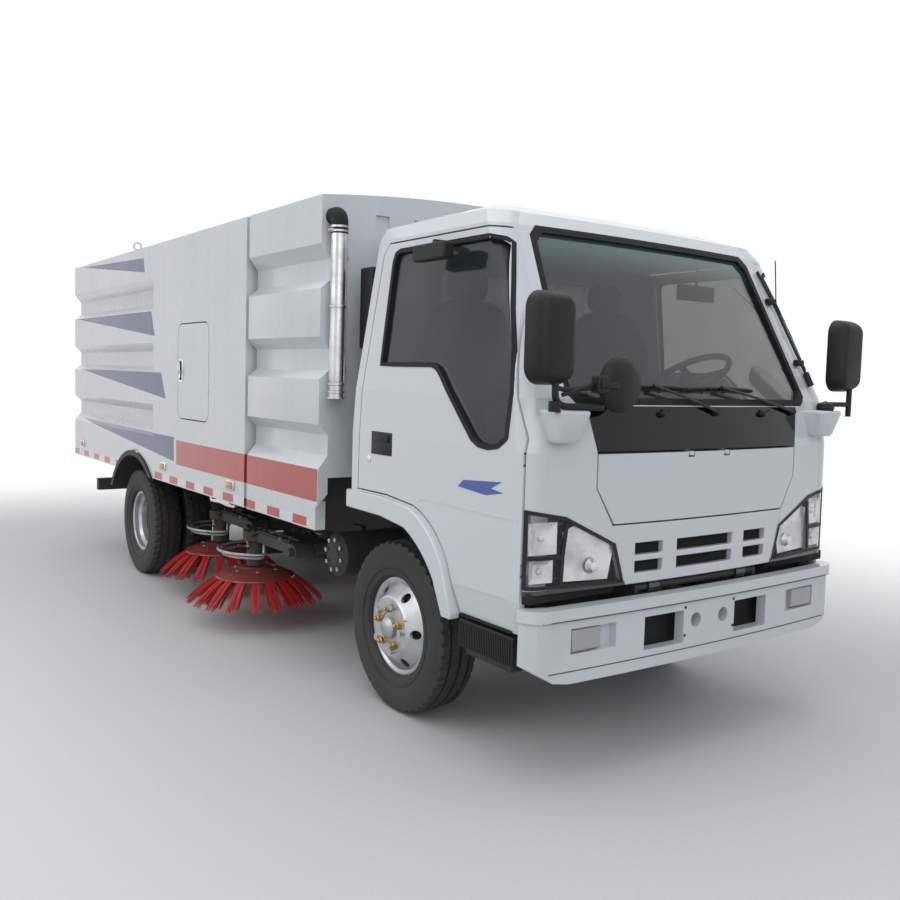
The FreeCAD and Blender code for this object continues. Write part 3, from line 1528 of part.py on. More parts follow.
# Sweeping body: one cross section, an engine module in front and a tipping hopper behind.
hopper_front = s.module_rear + s.split_gap
body_rear = s.wheelbase + s.rear_overhang
inner_half = s.body_half_width - s.body_wall
skirt_inner = s.body_half_width - s.guard_gap * 3
rise_shares = [0.858, 0.816, 0.754, 0.727, 0.584, 0.549, 0.484, 0.457, 0.321, 0.288, 0.226, 0.185]


def body_section(front, rear, half, low, eave, crown):
    """The body's arched cross section, run from one place to another."""
    outline = [(-half, low), (-half, eave), Through(0, crown), (half, eave), (half, low)]
    return prism("XZ", outline, front, rear - front)


def side_ribs(front, rear):
    """Three pressed bands along each side, each a flat between two slopes."""
    rise = s.eave_level - s.skirt_level
    outer = s.body_half_width
    inner = outer - s.rib_depth
    bands = []
    for index in range(0, len(rise_shares), 4):
        levels = [s.skirt_level + rise * share for share in rise_shares[index:index + 4]]
        for side in (-1, 1):
            bands.append(prism("XZ", [
                ((outer + s.overrun) * side, levels[0]), (outer * side, levels[0]),
                (inner * side, levels[1]), (inner * side, levels[2]), (outer * side, levels[3]),
                ((outer + s.overrun) * side, levels[3]),
            ], front, rear - front))
    return bands


def power_module():
    """The front module's housing: ribbed sides, a folded front wall, open below."""
    outer = body_section(s.body_front, s.module_rear, s.body_half_width, s.skirt_level,
                         s.eave_level, s.crown_level)
    wall = s.floor_wall
    inside = body_section(s.body_front + wall, s.module_rear - wall, inner_half,
                          s.module_floor_level + wall, s.eave_level - wall, s.crown_level - wall)
    below = block((-skirt_inner, s.body_front - s.overrun, s.skirt_level - s.overrun),
                  (skirt_inner, s.module_rear + s.overrun, s.module_floor_level))
    corner = s.body_half_width * 0.13
    front_corners = []
    for side in (-1, 1):
        front_corners.append(prism("XZ", [
            ((s.body_half_width + s.overrun) * side, s.skirt_level - s.overrun),
            ((s.body_half_width + s.overrun) * side, s.skirt_level + corner * 0.8),
            (s.body_half_width * side, s.skirt_level + corner * 0.9),
            ((s.body_half_width - corner) * side, s.module_floor_level + s.seat_gap),
            ((s.body_half_width - corner) * side, s.skirt_level - s.overrun),
        ], s.body_front - s.overrun, s.overrun + s.guard_gap))
    folds = []
    fold = s.body_half_width / 9
    for index in range(-3, 4):
        x = fold * 2 * index
        folds.append(block((x - fold * 0.35, s.body_front - s.overrun, s.module_floor_level + s.body_wall),
                           (x + fold * 0.35, s.body_front + wall * 0.25, s.eave_level - wall)))
    ribs = side_ribs(s.body_front - s.overrun, s.module_rear + s.overrun)
    return cut(outer, inside, below, *ribs, *folds, *front_corners)


node("power_module", power_module())


def auxiliary_engine():
    """One plain block on the module's floor."""
    half = s.engine_width * 0.6
    floor = s.module_floor_level + s.floor_wall + s.seat_gap
    return group(block((-half, s.body_front + s.body_wall * 1.5, floor),
                       (half, s.module_rear - s.body_wall * 1.5, floor + s.engine_height * 1.3)))


node("auxiliary_engine", auxiliary_engine())


def arch_cutter(half_from, half_to, side):
    """A segment of a large circle above the rear wheels, through one skirt."""
    y = s.wheelbase - s.arch_lead
    hub = s.skirt_level + s.arch_rise - s.arch_radius
    x = half_from if side > 0 else -half_to
    return rod("X", (x, y, hub), s.arch_radius, half_to - half_from)


def hatch_outline(grow):
    corner = s.hatch_corner + grow
    bend = corner * 0.293
    f = s.hatch_front - grow
    r = s.hatch_rear + grow
    low = s.hatch_low - grow
    high = s.hatch_high + grow
    return [
        (f + corner, low), (r - corner, low), Through(r - bend, low + bend), (r, low + corner),
        (r, high - corner), Through(r - bend, high - bend), (r - corner, high),
        (f + corner, high), Through(f + bend, high - bend), (f, high - corner),
        (f, low + corner), Through(f + bend, low + bend),
    ]


gate_y = body_rear + s.tailgate_hinge_back
gate_z = s.eave_level - s.floor_wall
gate_pin = s.hinge_pin_radius * 1.2
hatch_pin_x = s.body_half_width - s.hatch_wall * 0.14
hatch_pin_y = s.hatch_front + s.hinge_pin_radius * 2


def lifting_ring(side):
    """An eye standing on the roof's edge."""
    ring = doc.addObject("Part::Torus", "ring")
    bind(ring, "Radius1", s.tip_pin_radius * 1.2)
    bind(ring, "Radius2", s.kingpin_radius * 0.4)
    x = (s.body_half_width - s.body_wall * 0.6) * side
    y = s.rear_rib_front + s.wheelbase * 0.155
    place(ring, (x, y, s.eave_level + s.tip_pin_radius * 2), 90, V(1, 0, 0))
    foot = rod("Z", (x, y, s.eave_level - s.bearing_gap), s.kingpin_radius * 0.6,
               s.tip_pin_radius * 1.2)
    return union(ring, foot)


def hopper():
    """The bin: ribbed walls, a floor, skirts cut over the wheels, open at the rear."""
    outer = body_section(hopper_front, body_rear, s.body_half_width, s.skirt_level,
                         s.eave_level, s.crown_level)
    wall = s.floor_wall
    inside = body_section(hopper_front + wall, body_rear + s.overrun, inner_half,
                          s.floor_level + wall, s.eave_level - wall, s.crown_level - wall)
    below = block((-skirt_inner, hopper_front - s.overrun, s.skirt_level - s.overrun),
                  (skirt_inner, body_rear + s.overrun, s.floor_level))
    cuts = side_ribs(s.rear_rib_front, body_rear + s.overrun)
    for side in (-1, 1):
        cuts.append(arch_cutter(skirt_inner - s.guard_gap, s.body_half_width + s.overrun, side))
        start = inner_half - s.overrun if side > 0 else -s.body_half_width - s.overrun
        cuts.append(prism("YZ", hatch_outline(s.running_gap), start, s.body_wall + s.overrun * 2))
    header = block((-inner_half - s.overrun, body_rear - s.tailgate_wall - s.floor_wall, s.eave_level - wall),
                   (inner_half + s.overrun, body_rear, s.eave_level - wall + s.overrun * 0.5))
    header = overlap(header, outer)
    reach = s.tip_pin_radius * 2
    ears = []
    for side in (-1, 1):
        x = (s.frame_half_width + s.subframe_width / 2 + s.running_gap) * side
        half = s.subframe_width / 2
        ears.append(block((x - half, tip_y - reach, tip_z - reach),
                          (x + half, tip_y + reach, s.floor_level + wall * 0.5)))
    bores = []
    for side in (-1, 1):
        x = (s.frame_half_width - s.subframe_width / 2) * side
        bores.append(rod("X", (x - s.subframe_width * 1.5, tip_y, tip_z), s.tip_pin_radius + s.bearing_gap,
                         s.subframe_width * 3))
    for side in (-1, 1):
        x = s.tailgate_hinge_half * side
        low_x = x - s.guard_gap - s.bearing_gap
        ears.append(rod("X", (low_x, gate_y, gate_z), s.tip_pin_radius * 0.4, s.guard_gap))
        ears.append(block((low_x, body_rear - s.tailgate_hinge_back, gate_z),
                          (low_x + s.guard_gap, gate_y + s.tip_pin_radius * 0.4, gate_z + s.tip_pin_radius)))
        bores.append(rod("X", (low_x - s.guard_gap, gate_y, gate_z), gate_pin + s.seat_gap,
                         s.guard_gap * 3))
        bores.append(rod("Z", (hatch_pin_x * side, hatch_pin_y, s.hatch_low - s.guard_gap),
                         s.hinge_pin_radius + s.seat_gap,
                         s.hatch_high - s.hatch_low + s.guard_gap * 2))
    solid = union(cut(outer, inside, below, *cuts), header, *ears, lifting_ring(-1), lifting_ring(1))
    return cut(solid, group(*bores))


def tailgate():
    """A panel inside the rear frame, hung from the eave, with three stiffening ribs."""
    gap = s.running_gap
    half = inner_half - gap
    low = s.floor_level + s.floor_wall + gap
    high = s.eave_level - s.floor_wall - gap
    panel = block((-half, body_rear - s.tailgate_wall, low), (half, body_rear - s.tailgate_wall * 0.3, high))
    frame = block((-half, body_rear - s.tailgate_wall * 0.4, low), (half, body_rear, high))
    edge = s.body_wall * 0.9
    bays = []
    rise = (high - low - edge) / 3
    for index in range(3):
        bottom = low + edge + rise * index
        for left, right in ((-half + edge, -edge / 2), (edge / 2, half - edge)):
            bays.append(block((left, body_rear - s.tailgate_wall * 0.4 - s.overrun, bottom),
                              (right, body_rear + s.overrun, bottom + rise - edge)))
    tabs = []
    for side in (-1, 1):
        x = s.tailgate_hinge_half * side + s.bearing_gap
        eye = s.tip_pin_radius * 0.4
        tabs.append(block((x, body_rear - eye, high - s.floor_wall),
                          (x + s.guard_gap, gate_y + eye, high)))
        tabs.append(rod("X", (x, gate_y, gate_z), eye, s.guard_gap))
        tabs.append(rod("X", (x - s.guard_gap * 1.2, gate_y, gate_z), gate_pin, s.guard_gap * 1.6))
    return union(panel, cut(frame, group(*bays)), *tabs)


node("tailgate", tailgate())


def hatch(side):
    start = s.body_half_width - s.hatch_wall if side > 0 else -s.body_half_width
    panel = prism("YZ", hatch_outline(0), start, s.hatch_wall)
    latch_y = s.hatch_rear - s.hatch_corner * 0.8
    latch_z = (s.hatch_low + s.hatch_high) / 2
    length = s.guard_gap * 1.4
    x = s.body_half_width - s.bearing_gap if side > 0 else -s.body_half_width - length + s.bearing_gap
    knob = rod("X", (x, latch_y, latch_z), s.guard_gap * 1.2, length)
    pin = rod("Z", (hatch_pin_x * side, hatch_pin_y, s.hatch_low - s.bearing_gap),
              s.hinge_pin_radius, s.hatch_high - s.hatch_low + s.bearing_gap * 2)
    return union(panel, knob, pin)


node("side_hatch_right", hatch(-1))
node("side_hatch_left", hatch(1))


node("hopper_shell", hopper())


def mudguard(side):
    """A curved sheet over the twin wheels with a lip outside the skirt."""
    lip = s.body_half_width + s.running_gap
    near = s.rear_track / 2 - s.disc_offset - s.tyre_width / 2 - s.guard_gap
    outer = s.arch_radius - s.guard_gap
    y = s.wheelbase - s.arch_lead
    hub = s.skirt_level + s.arch_rise - s.arch_radius
    x = near if side > 0 else -lip
    sheet_body = cut(rod("X", (x, y, hub), outer, lip - near),
                     rod("X", (x - s.overrun, y, hub), outer - s.guard_wall, lip - near + s.overrun * 2))
    lip_x = lip if side > 0 else -lip - s.guard_wall
    rim_ring = cut(rod("X", (lip_x, y, hub), outer + s.guard_gap, s.guard_wall),
                   rod("X", (lip_x - s.overrun, y, hub), outer - s.guard_gap, s.guard_wall + s.overrun * 2))
    keep = prism("YZ", [
        (y - s.arch_radius * 1.1, s.skirt_level), (y + s.arch_radius * 0.5, s.skirt_level),
        (y + s.arch_radius * 0.6, s.skirt_level * 0.8), (y + s.arch_radius * 1.1, s.skirt_level * 0.8),
        (y + s.arch_radius * 1.1, s.floor_level + s.overrun),
        (y - s.arch_radius * 1.1, s.floor_level + s.overrun),
    ], -s.body_half_width - s.overrun, (s.body_half_width + s.overrun) * 2)
    guard = overlap(union(sheet_body, rim_ring), keep)
    ends = sorted([s.frame_half_width * side, (near + s.guard_gap / 2) * side], key=float)
    middle = outer - s.guard_wall / 2
    along = s.arch_radius * 0.35
    level = hub + root(middle * middle - along * along)
    stays = []
    for end in (-1, 1):
        place_y = y + along * end
        stays.append(block((ends[0], place_y - s.guard_gap / 2, rail_top - s.rail_web * 3),
                           (ends[1], place_y + s.guard_gap / 2, level)))
    seat = sorted([s.frame_half_width * side, (s.frame_half_width + s.seat_gap) * side], key=float)
    trim = block((seat[0], s.rail_rear * 0.5, s.rail_bottom), (seat[1], s.rail_rear, s.floor_level))
    return cut(union(guard, *stays), trim)


node("rear_mudguards", mirrored_pair(mudguard))


def intake_stack():
    """A steel pipe up the module's front wall with a flange at its foot."""
    radius = s.shaft_radius * 0.75
    x = -s.body_half_width + s.overrun
    y = s.body_front - s.overrun
    low = s.module_floor_level * 1.38
    high = s.eave_level - s.body_wall * 1.6
    pipe = rod("Z", (x, y, low), radius, high - low)
    flange = rod("Z", (x, y, low), radius * 1.5, s.guard_gap)
    items = [pipe, flange]
    for share in (0.25, 0.75):
        level = low + (high - low) * share
        items.append(block((x - radius * 0.5, y, level), (x + radius * 0.5, s.body_front - s.seat_gap,
                                                          level + s.guard_gap)))
    return union(*items)


def intake_elbow():
    """The rubber bend on the pipe's head, turning back into the wall."""
    radius = s.shaft_radius * 0.9
    x = -s.body_half_width + s.overrun
    y = s.body_front - s.overrun
    high = s.eave_level - s.body_wall * 1.6 + s.seat_gap
    bend = s.overrun * 0.8
    upright = rod("Z", (x, y, high), radius, bend)
    level = rod("Y", (x, y, high + bend), radius, s.overrun - s.seat_gap)
    knee = doc.addObject("Part::Sphere", "knee")
    bind(knee, "Radius", radius)
    place(knee, (x, y, high + bend))
    return union(upright, level, knee)


node("intake_pipe", group(intake_stack(), intake_elbow()))


def rear_guard():
    """The under-run bar on two stays from the rails."""
    half = s.body_half_width * 0.86
    y = s.rail_rear + s.seat_gap
    depth = s.subframe_width
    low = s.rail_bottom * 0.8
    bar = block((-half, y, low), (half, y + depth, low + s.rail_height * 0.55))
    stays = []
    for side in (-1, 1):
        x = (s.frame_half_width - s.rail_flange / 2) * side
        stays.append(block((x - s.rail_flange / 2, y, low),
                           (x + s.rail_flange / 2, y + s.rail_web * 2, rail_top - s.rail_web)))
    return union(bar, *stays)


node("rear_guard_bar", rear_guard())


def tail_lamp(side):
    half = s.body_half_width
    y = s.rail_rear + s.subframe_width + s.seat_gap * 2
    ends = sorted([half * 0.5 * side, half * 0.78 * side], key=float)
    low = s.rail_bottom * 0.8 + s.guard_wall
    return block((ends[0], y, low), (ends[1], y + s.guard_gap * 2, low + s.rail_height * 0.5))


node("tail_lamps", mirrored_pair(tail_lamp))


# Sweeping gear: four side brushes on trailing arms, and the suction nozzle.
def brush():
    """A steel disc under a hub, with bundles of bristle spreading out and down."""
    disc = s.brush_disc_radius
    top = s.brush_disc_level
    thick = s.guard_gap
    tip = s.brush_tip_level
    body = doc.addObject("PartDesign::Body", "brush")
    sketch = body_sketch(body, "XZ", [
        (0, top + s.subframe_width), (s.stub_radius, top + s.subframe_width), (s.stub_radius, top),
        (disc * 0.35, top), (disc, top - disc * 0.22), (disc, top - disc * 0.22 - thick),
        (disc * 0.35, top - thick), (0, top - thick),
    ], 0)
    turn = body.newObject("PartDesign::Revolution", "disc")
    turn.Profile = sketch
    turn.ReferenceAxis = (sketch, ["V_Axis"])
    root_in = disc * 0.72
    root_level = top - disc * 0.15
    bundle = body_sketch(body, "XZ", [
        (root_in, root_level - thick * 0.5), (disc * 0.99, top - disc * 0.22 - thick * 0.5),
        (s.brush_radius, tip), (s.brush_radius - disc * 0.32, tip),
    ], 0)
    sweep = body.newObject("PartDesign::Revolution", "bundle")
    sweep.Profile = bundle
    sweep.ReferenceAxis = (bundle, ["V_Axis"])
    bind(sweep, "Angle", s.bristle_angle)
    doc.recompute()
    pattern = body.newObject("PartDesign::PolarPattern", "bundles")
    pattern.Originals = [sweep]
    pattern.Axis = (sketch, ["V_Axis"])
    pattern.Angle = 360
    bind(pattern, "Occurrences", s.bristle_bundles)
    body.Tip = pattern
    return body


def brush_arm(half, place_y, side):
    """A trailing arm: pivot tube, bar, and the motor over the brush's middle."""
    x = half * side
    pivot = place_y - s.arm_length
    tube = s.tip_pin_radius
    wide = s.subframe_width
    motor_low = s.brush_disc_level + s.running_gap
    motor = rod("Z", (x, place_y, motor_low), wide * 0.9, s.arm_level - motor_low)
    bar = block((x - wide / 2, pivot, s.arm_level - wide / 2),
                (x + wide / 2, place_y, s.arm_level + wide / 2))
    boss = rod("X", (x - wide * 0.9, pivot, s.arm_level), tube * 1.8, wide * 1.8)
    plate = rod("Z", (x, place_y, s.arm_level - wide / 2), wide * 1.3, wide)
    bore = rod("X", (x - wide * 2, pivot, s.arm_level), tube + s.bearing_gap, wide * 4)
    socket = rod("Z", (x, place_y, motor_low - s.running_gap), s.stub_radius + s.bearing_gap,
                 wide + s.bearing_gap)
    return cut(union(motor, bar, boss, plate), group(bore, socket))


def brush_mount(half, place_y, side):
    """The pin for an arm, carried out from the rail by a tube."""
    pivot = place_y - s.arm_length
    wide = s.subframe_width
    rail_x = s.frame_half_width - s.rail_web / 2
    made = []
    for reach, radius in ((half + wide * 1.4, s.tip_pin_radius), (half - wide * 1.1, s.tip_pin_radius * 1.5)):
        start = rail_x if side > 0 else -reach
        made.append(rod("X", (start, pivot, s.arm_level), radius, reach - rail_x))
    ends = sorted([rail_x * side, (s.frame_half_width + wide * 0.4) * side], key=float)
    made.append(block((ends[0], pivot - wide, s.arm_level - wide * 0.6),
                      (ends[1], pivot + wide, s.arm_level + wide * 2)))
    return union(*made)


BRUSHES = [
    ("front_right", s.front_brush_half, s.front_brush_place, -1),
    ("front_left", s.front_brush_half, s.front_brush_place, 1),
    ("rear_right", s.rear_brush_half, s.rear_brush_place, -1),
    ("rear_left", s.rear_brush_half, s.rear_brush_place, 1),
]
mounts = []
for name, half, where, side in BRUSHES:
    node("brush_" + name, brush(), (half * side, where, 0))
    node("brush_arm_" + name, brush_arm(half, where, side))
    mounts.append(brush_mount(half, where, side))
node("chassis_frame", union(*frame_items, *mounts))


def suction_nozzle():
    """A wide shallow mouth, open below, with a spigot that slides in the duct."""
    half = s.nozzle_half_width
    y = s.nozzle_place
    deep = s.nozzle_length / 2
    low = s.nozzle_bottom
    high = low + s.nozzle_height
    hood = prism("XZ", [
        (-half, low), (half, low), (half, low + s.nozzle_height * 0.5),
        (s.duct_side + s.duct_radius, high), (s.duct_side - s.duct_radius, high),
        (-half, low + s.nozzle_height * 0.5),
    ], y - deep, deep * 2)
    wall = s.rim_wall
    inside = prism("XZ", [
        (-half + wall, low - s.overrun), (half - wall, low - s.overrun),
        (half - wall, low + s.nozzle_height * 0.5 - wall), (s.duct_side + s.duct_radius - wall, high - wall),
        (s.duct_side - s.duct_radius + wall, high - wall), (-half + wall, low + s.nozzle_height * 0.5 - wall),
    ], y - deep + wall, (deep - wall) * 2)
    outer = s.duct_radius - s.seat_gap
    spigot = rod("Z", (s.duct_side, y, high - wall * 2), outer, s.rail_height)
    bore = rod("Z", (s.duct_side, y, low), outer - wall, s.rail_height * 3)
    return cut(union(hood, spigot), group(inside, bore))


def suction_duct():
    """The fixed duct from the nozzle up to the hopper's floor, on a stay from the rail."""
    y = s.nozzle_place
    start = s.nozzle_bottom + s.nozzle_height + s.rail_height * 0.55
    top = s.floor_level - s.running_gap
    tube = rod("Z", (s.duct_side, y, start), s.duct_radius + s.rim_wall, top - start)
    bore = rod("Z", (s.duct_side, y, start - s.overrun), s.duct_radius, top - start + s.overrun * 2)
    stay = block((s.duct_side, y - s.guard_gap, rail_top - s.rail_height * 0.7),
                 (rail_inner - s.seat_gap, y + s.guard_gap, rail_top - s.rail_height * 0.4))
    return cut(union(tube, stay), bore)


node("suction_nozzle", suction_nozzle())
node("suction_duct", suction_duct())

doc.recompute()
for item in doc.Objects:
    if any(word in item.State for word in ("Invalid", "Error")):
        raise RuntimeError(f"{item.Name} ({item.Label}) did not build: {item.State}")
for item in NODES:
    if item.Shape.isNull() or not item.Shape.isValid():
        raise RuntimeError(f"{item.Label} has no sound shape")
for item in NODES:
    item.Shape.exportStep(f"parts/{item.Label}.step")
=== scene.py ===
# %% [markdown]
# # A street sweeper truck, dressed over its CAD frame
#
# The CAD frame gives every body, joint and measure. This lesson turns it into a picture. It keeps
# each CAD part where it is, and either paints it or puts a finer piece in its place. A truck has
# hundreds of small repeated parts, so most of them come from two node trees that repeat a shape round
# an axis or along a line. Paint, grime and stripes are procedural and read each piece's own coordinates.

import json
import math
import random

import bmesh
import bpy
from mathutils import Matrix, Vector
from mathutils.bvhtree import BVHTree

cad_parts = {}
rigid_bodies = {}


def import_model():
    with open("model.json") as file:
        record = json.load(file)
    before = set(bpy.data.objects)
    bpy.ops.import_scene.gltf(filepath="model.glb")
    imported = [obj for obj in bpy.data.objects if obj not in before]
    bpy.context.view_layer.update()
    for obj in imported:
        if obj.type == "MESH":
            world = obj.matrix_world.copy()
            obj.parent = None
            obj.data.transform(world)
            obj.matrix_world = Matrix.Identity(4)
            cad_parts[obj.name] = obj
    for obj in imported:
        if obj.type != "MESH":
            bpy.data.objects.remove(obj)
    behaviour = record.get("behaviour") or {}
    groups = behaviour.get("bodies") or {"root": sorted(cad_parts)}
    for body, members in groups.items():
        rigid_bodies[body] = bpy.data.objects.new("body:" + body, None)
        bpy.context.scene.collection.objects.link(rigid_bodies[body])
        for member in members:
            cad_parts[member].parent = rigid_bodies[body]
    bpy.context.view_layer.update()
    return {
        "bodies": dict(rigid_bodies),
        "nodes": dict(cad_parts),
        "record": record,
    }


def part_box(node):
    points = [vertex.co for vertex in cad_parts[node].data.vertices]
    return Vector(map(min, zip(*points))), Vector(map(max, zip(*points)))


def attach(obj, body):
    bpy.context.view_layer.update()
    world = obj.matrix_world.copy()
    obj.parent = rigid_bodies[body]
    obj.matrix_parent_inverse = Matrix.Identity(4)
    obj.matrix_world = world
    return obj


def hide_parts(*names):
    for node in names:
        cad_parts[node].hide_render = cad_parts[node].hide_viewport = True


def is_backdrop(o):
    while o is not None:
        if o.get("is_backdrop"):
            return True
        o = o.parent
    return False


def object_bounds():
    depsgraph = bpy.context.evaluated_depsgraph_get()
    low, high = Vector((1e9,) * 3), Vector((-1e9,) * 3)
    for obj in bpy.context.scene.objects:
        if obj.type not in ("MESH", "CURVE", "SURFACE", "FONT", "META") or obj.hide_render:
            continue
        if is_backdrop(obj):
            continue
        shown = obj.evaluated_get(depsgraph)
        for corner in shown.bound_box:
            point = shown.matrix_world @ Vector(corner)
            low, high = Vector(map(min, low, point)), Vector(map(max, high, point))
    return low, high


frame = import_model()

# %% [markdown]
# ## Places
#
# All lengths are metres. The truck faces -Y, its right side is -X, and the ground is Z = 0. The
# front axle is the datum that the CAD part measures from, so `at` takes a distance behind it.

# %% Datums
FRONT_AXLE = -1.9275
REAR_AXLE = 1.4325
WHEEL_RADIUS = 0.382
BODY_HALF = 0.99


def at(x, behind, z):
    """A point given by its distance behind the front axle."""
    return Vector((x, FRONT_AXLE + behind, z))


def body_of(node):
    """The name of the CAD body that a node belongs to."""
    parent = frame["nodes"][node].parent
    for name, empty in frame["bodies"].items():
        if empty == parent:
            return name
    return "chassis"


slot_of = {part["node"]: part["material_slot"] for part in frame["record"]["subparts"]}

# %% [markdown]
# ## Camera
#
# The photo is taken from the truck's front right, at the height of the window sill and rolled by a
# degree and a half. A camera can be aimed by hand until the picture looks right, but here its place,
# angles and lens were solved from the truck's own corners, so that the outlines fall together.

# %% Camera
YAW, PITCH, ROLL = math.radians(36.13), math.radians(-4.13), math.radians(1.61)
EYE = (-3.0322, -5.3489, 1.4977)
LENS_MM = 37.06
ahead = Vector((math.sin(YAW) * math.cos(PITCH), math.cos(YAW) * math.cos(PITCH), math.sin(PITCH)))
level_right = Vector((math.cos(YAW), -math.sin(YAW), 0))
level_up = level_right.cross(ahead)
right = level_right * math.cos(ROLL) + level_up * math.sin(ROLL)
up = level_up * math.cos(ROLL) - level_right * math.sin(ROLL)

camera_data = bpy.data.cameras.new("camera")
camera_data.sensor_width = 36
camera_data.lens = LENS_MM
camera_data.shift_x = -0.006
camera_data.shift_y = -0.0071
camera = bpy.data.objects.new("camera", camera_data)
bpy.context.scene.collection.objects.link(camera)
camera.matrix_world = Matrix.Translation(EYE) @ Matrix((right, up, -ahead)).transposed().to_4x4()
bpy.context.scene.camera = camera
print("camera", [round(v, 3) for v in camera.location])

# %% [markdown]
# ## Shader maths that reads as arithmetic
#
# A material that fades, stripes or mottles needs many small maths nodes. They could be wired one by
# one, but a class that wraps an output socket lets plain signs such as + and * make them instead.

# %% Signals
class Signal:
    """An output socket that can be added, multiplied and compared."""

    def __init__(self, finish, socket):
        self.finish = finish
        self.socket = socket

    def math(self, operation, *others):
        return self.finish.node("ShaderNodeMath", {"operation": operation}, (self, *others))

    def __add__(self, other):
        return self.math("ADD", other)

    def __sub__(self, other):
        return self.math("SUBTRACT", other)

    def __mul__(self, other):
        return self.math("MULTIPLY", other)

    def __truediv__(self, other):
        return self.math("DIVIDE", other)

    def above(self, edge):
        return self.math("GREATER_THAN", edge)

    def below(self, edge):
        return self.math("LESS_THAN", edge)

    def between(self, low, high):
        return self.above(low) * self.below(high)

    def size(self):
        return self.math("ABSOLUTE")

    def clipped(self):
        return (self + 0).math("MINIMUM", 1).math("MAXIMUM", 0)


print("signals ready")

# %% [markdown]
# ## One material at a time
#
# `Finish` holds one material and its sockets. Its `node` method makes any node, and `surface` closes
# the material with a Principled shader. Only base colour, roughness, metallic, alpha and bump vary
# over a surface, because those are what a baked texture can carry to other programs.

# %% A finish
class Finish:
    """One procedural material, or the world's own tree."""

    def __init__(self, name, world=None):
        self.material = world or bpy.data.materials.new(name)
        self.material.use_nodes = True
        self.tree = self.material.node_tree
        self.tree.nodes.clear()
        coordinates = self.tree.nodes.new("ShaderNodeTexCoord")
        self.place = Signal(self, coordinates.outputs["Generated" if world else "Object"])
        split = self.node("ShaderNodeSeparateXYZ", {}, (self.place,)).socket.node
        self.x, self.y, self.z = (Signal(self, output) for output in split.outputs)

    def node(self, kind, settings, values, out=0):
        """A node of any kind, its settings first and then its sockets' values or links."""
        made = self.tree.nodes.new(kind)
        for key, value in settings.items():
            if key == "stops":
                ramp = made.color_ramp
                while len(ramp.elements) < len(value):
                    ramp.elements.new(0.5)
                for element, (place, shade) in zip(ramp.elements, value):
                    element.position = place
                    element.color = (shade, shade, shade, 1)
            else:
                setattr(made, key, value)
        items = values.items() if isinstance(values, dict) else enumerate(values)
        for key, value in items:
            if isinstance(value, Signal):
                self.tree.links.new(value.socket, made.inputs[key])
            elif value is not None:
                made.inputs[key].default_value = value
        return Signal(self, made.outputs[out])

    def noise(self, scale, detail=4, rough=0.55, stretch=None):
        """Soft noise from 0 to 1, in the piece's own coordinates."""
        place = self.place
        if stretch:
            place = self.node("ShaderNodeVectorMath", {"operation": "MULTIPLY"}, (place, stretch))
        return self.node("ShaderNodeTexNoise", {},
                         {"Vector": place, "Scale": scale, "Detail": detail, "Roughness": rough})

    def ramp(self, value, *stops):
        """A value put through a grey ramp of (place, shade) stops."""
        return self.node("ShaderNodeValToRGB", {"stops": stops}, (value,))

    def mix(self, first, second, share):
        """Two colours blended by a share."""
        def colour(item):
            return item if isinstance(item, Signal) else (*item, 1)
        return self.node("ShaderNodeMix", {"data_type": "RGBA"},
                         {0: share, 6: colour(first), 7: colour(second)}, out=2)

    def triangle(self, corners):
        """1 inside a triangle on the truck's side, its corners given as (y, z)."""
        (y0, z0), (y1, z1), (y2, z2) = corners
        turn = math.copysign(1, (y1 - y0) * (z2 - z0) - (z1 - z0) * (y2 - y0))
        mask = None
        for (ya, za), (yb, zb) in (((y0, z0), (y1, z1)), ((y1, z1), (y2, z2)), ((y2, z2), (y0, z0))):
            side = ((self.z - za) * (yb - ya) - (self.y - ya) * (zb - za)) * turn
            mask = side.above(0) if mask is None else mask * side.above(0)
        return mask

    def surface(self, colour, roughness, metallic=0.0, bump=None, depth=0.001, alpha=None, **fixed):
        """The closing Principled shader."""
        shader = self.tree.nodes.new("ShaderNodeBsdfPrincipled")
        for key, value in (("Base Color", colour), ("Roughness", roughness), ("Metallic", metallic),
                           ("Alpha", alpha)):
            if isinstance(value, Signal):
                self.tree.links.new(value.socket, shader.inputs[key])
            elif value is not None:
                shader.inputs[key].default_value = (*value, 1) if key == "Base Color" else value
        for key, value in fixed.items():
            shader.inputs[key.replace("_", " ")].default_value = value
        if bump is not None:
            bumped = self.node("ShaderNodeBump", {}, {"Height": bump, "Strength": 1.0,
                                                      "Distance": depth})
            self.tree.links.new(bumped.socket, shader.inputs["Normal"])
        output = self.tree.nodes.new("ShaderNodeOutputMaterial")
        self.tree.links.new(shader.outputs[0], output.inputs["Surface"])
        return self.material


print("finish helper ready")

# %% [markdown]
# ## Paint, metal and plastic
#
# A working road sweeper is never clean, but this one has just been washed. Each finish starts with a
# flat colour, adds a broad mottling, and then a film of road dust that thickens towards the ground.
# Three recipes do for most of the truck: sprayed paint, bare metal, and dull plastic or rubber.

# %% Three recipes
DUST = (0.23, 0.21, 0.18)
finishes = {}


def road_film(finish, colour, low=0.35, high=1.3, most=0.35):
    """A colour under dust that thins out with height and breaks up with noise."""
    height = finish.node("ShaderNodeMapRange", {"clamp": True},
                         {"Value": finish.z, "From Min": low, "From Max": high,
                          "To Min": 1.0, "To Max": 0.06})
    broken = finish.ramp(finish.noise(2.2, 2, 0.4), (0.2, 0.4), (0.9, 1.0))
    return finish.mix(colour, DUST, (height * broken * most).clipped())


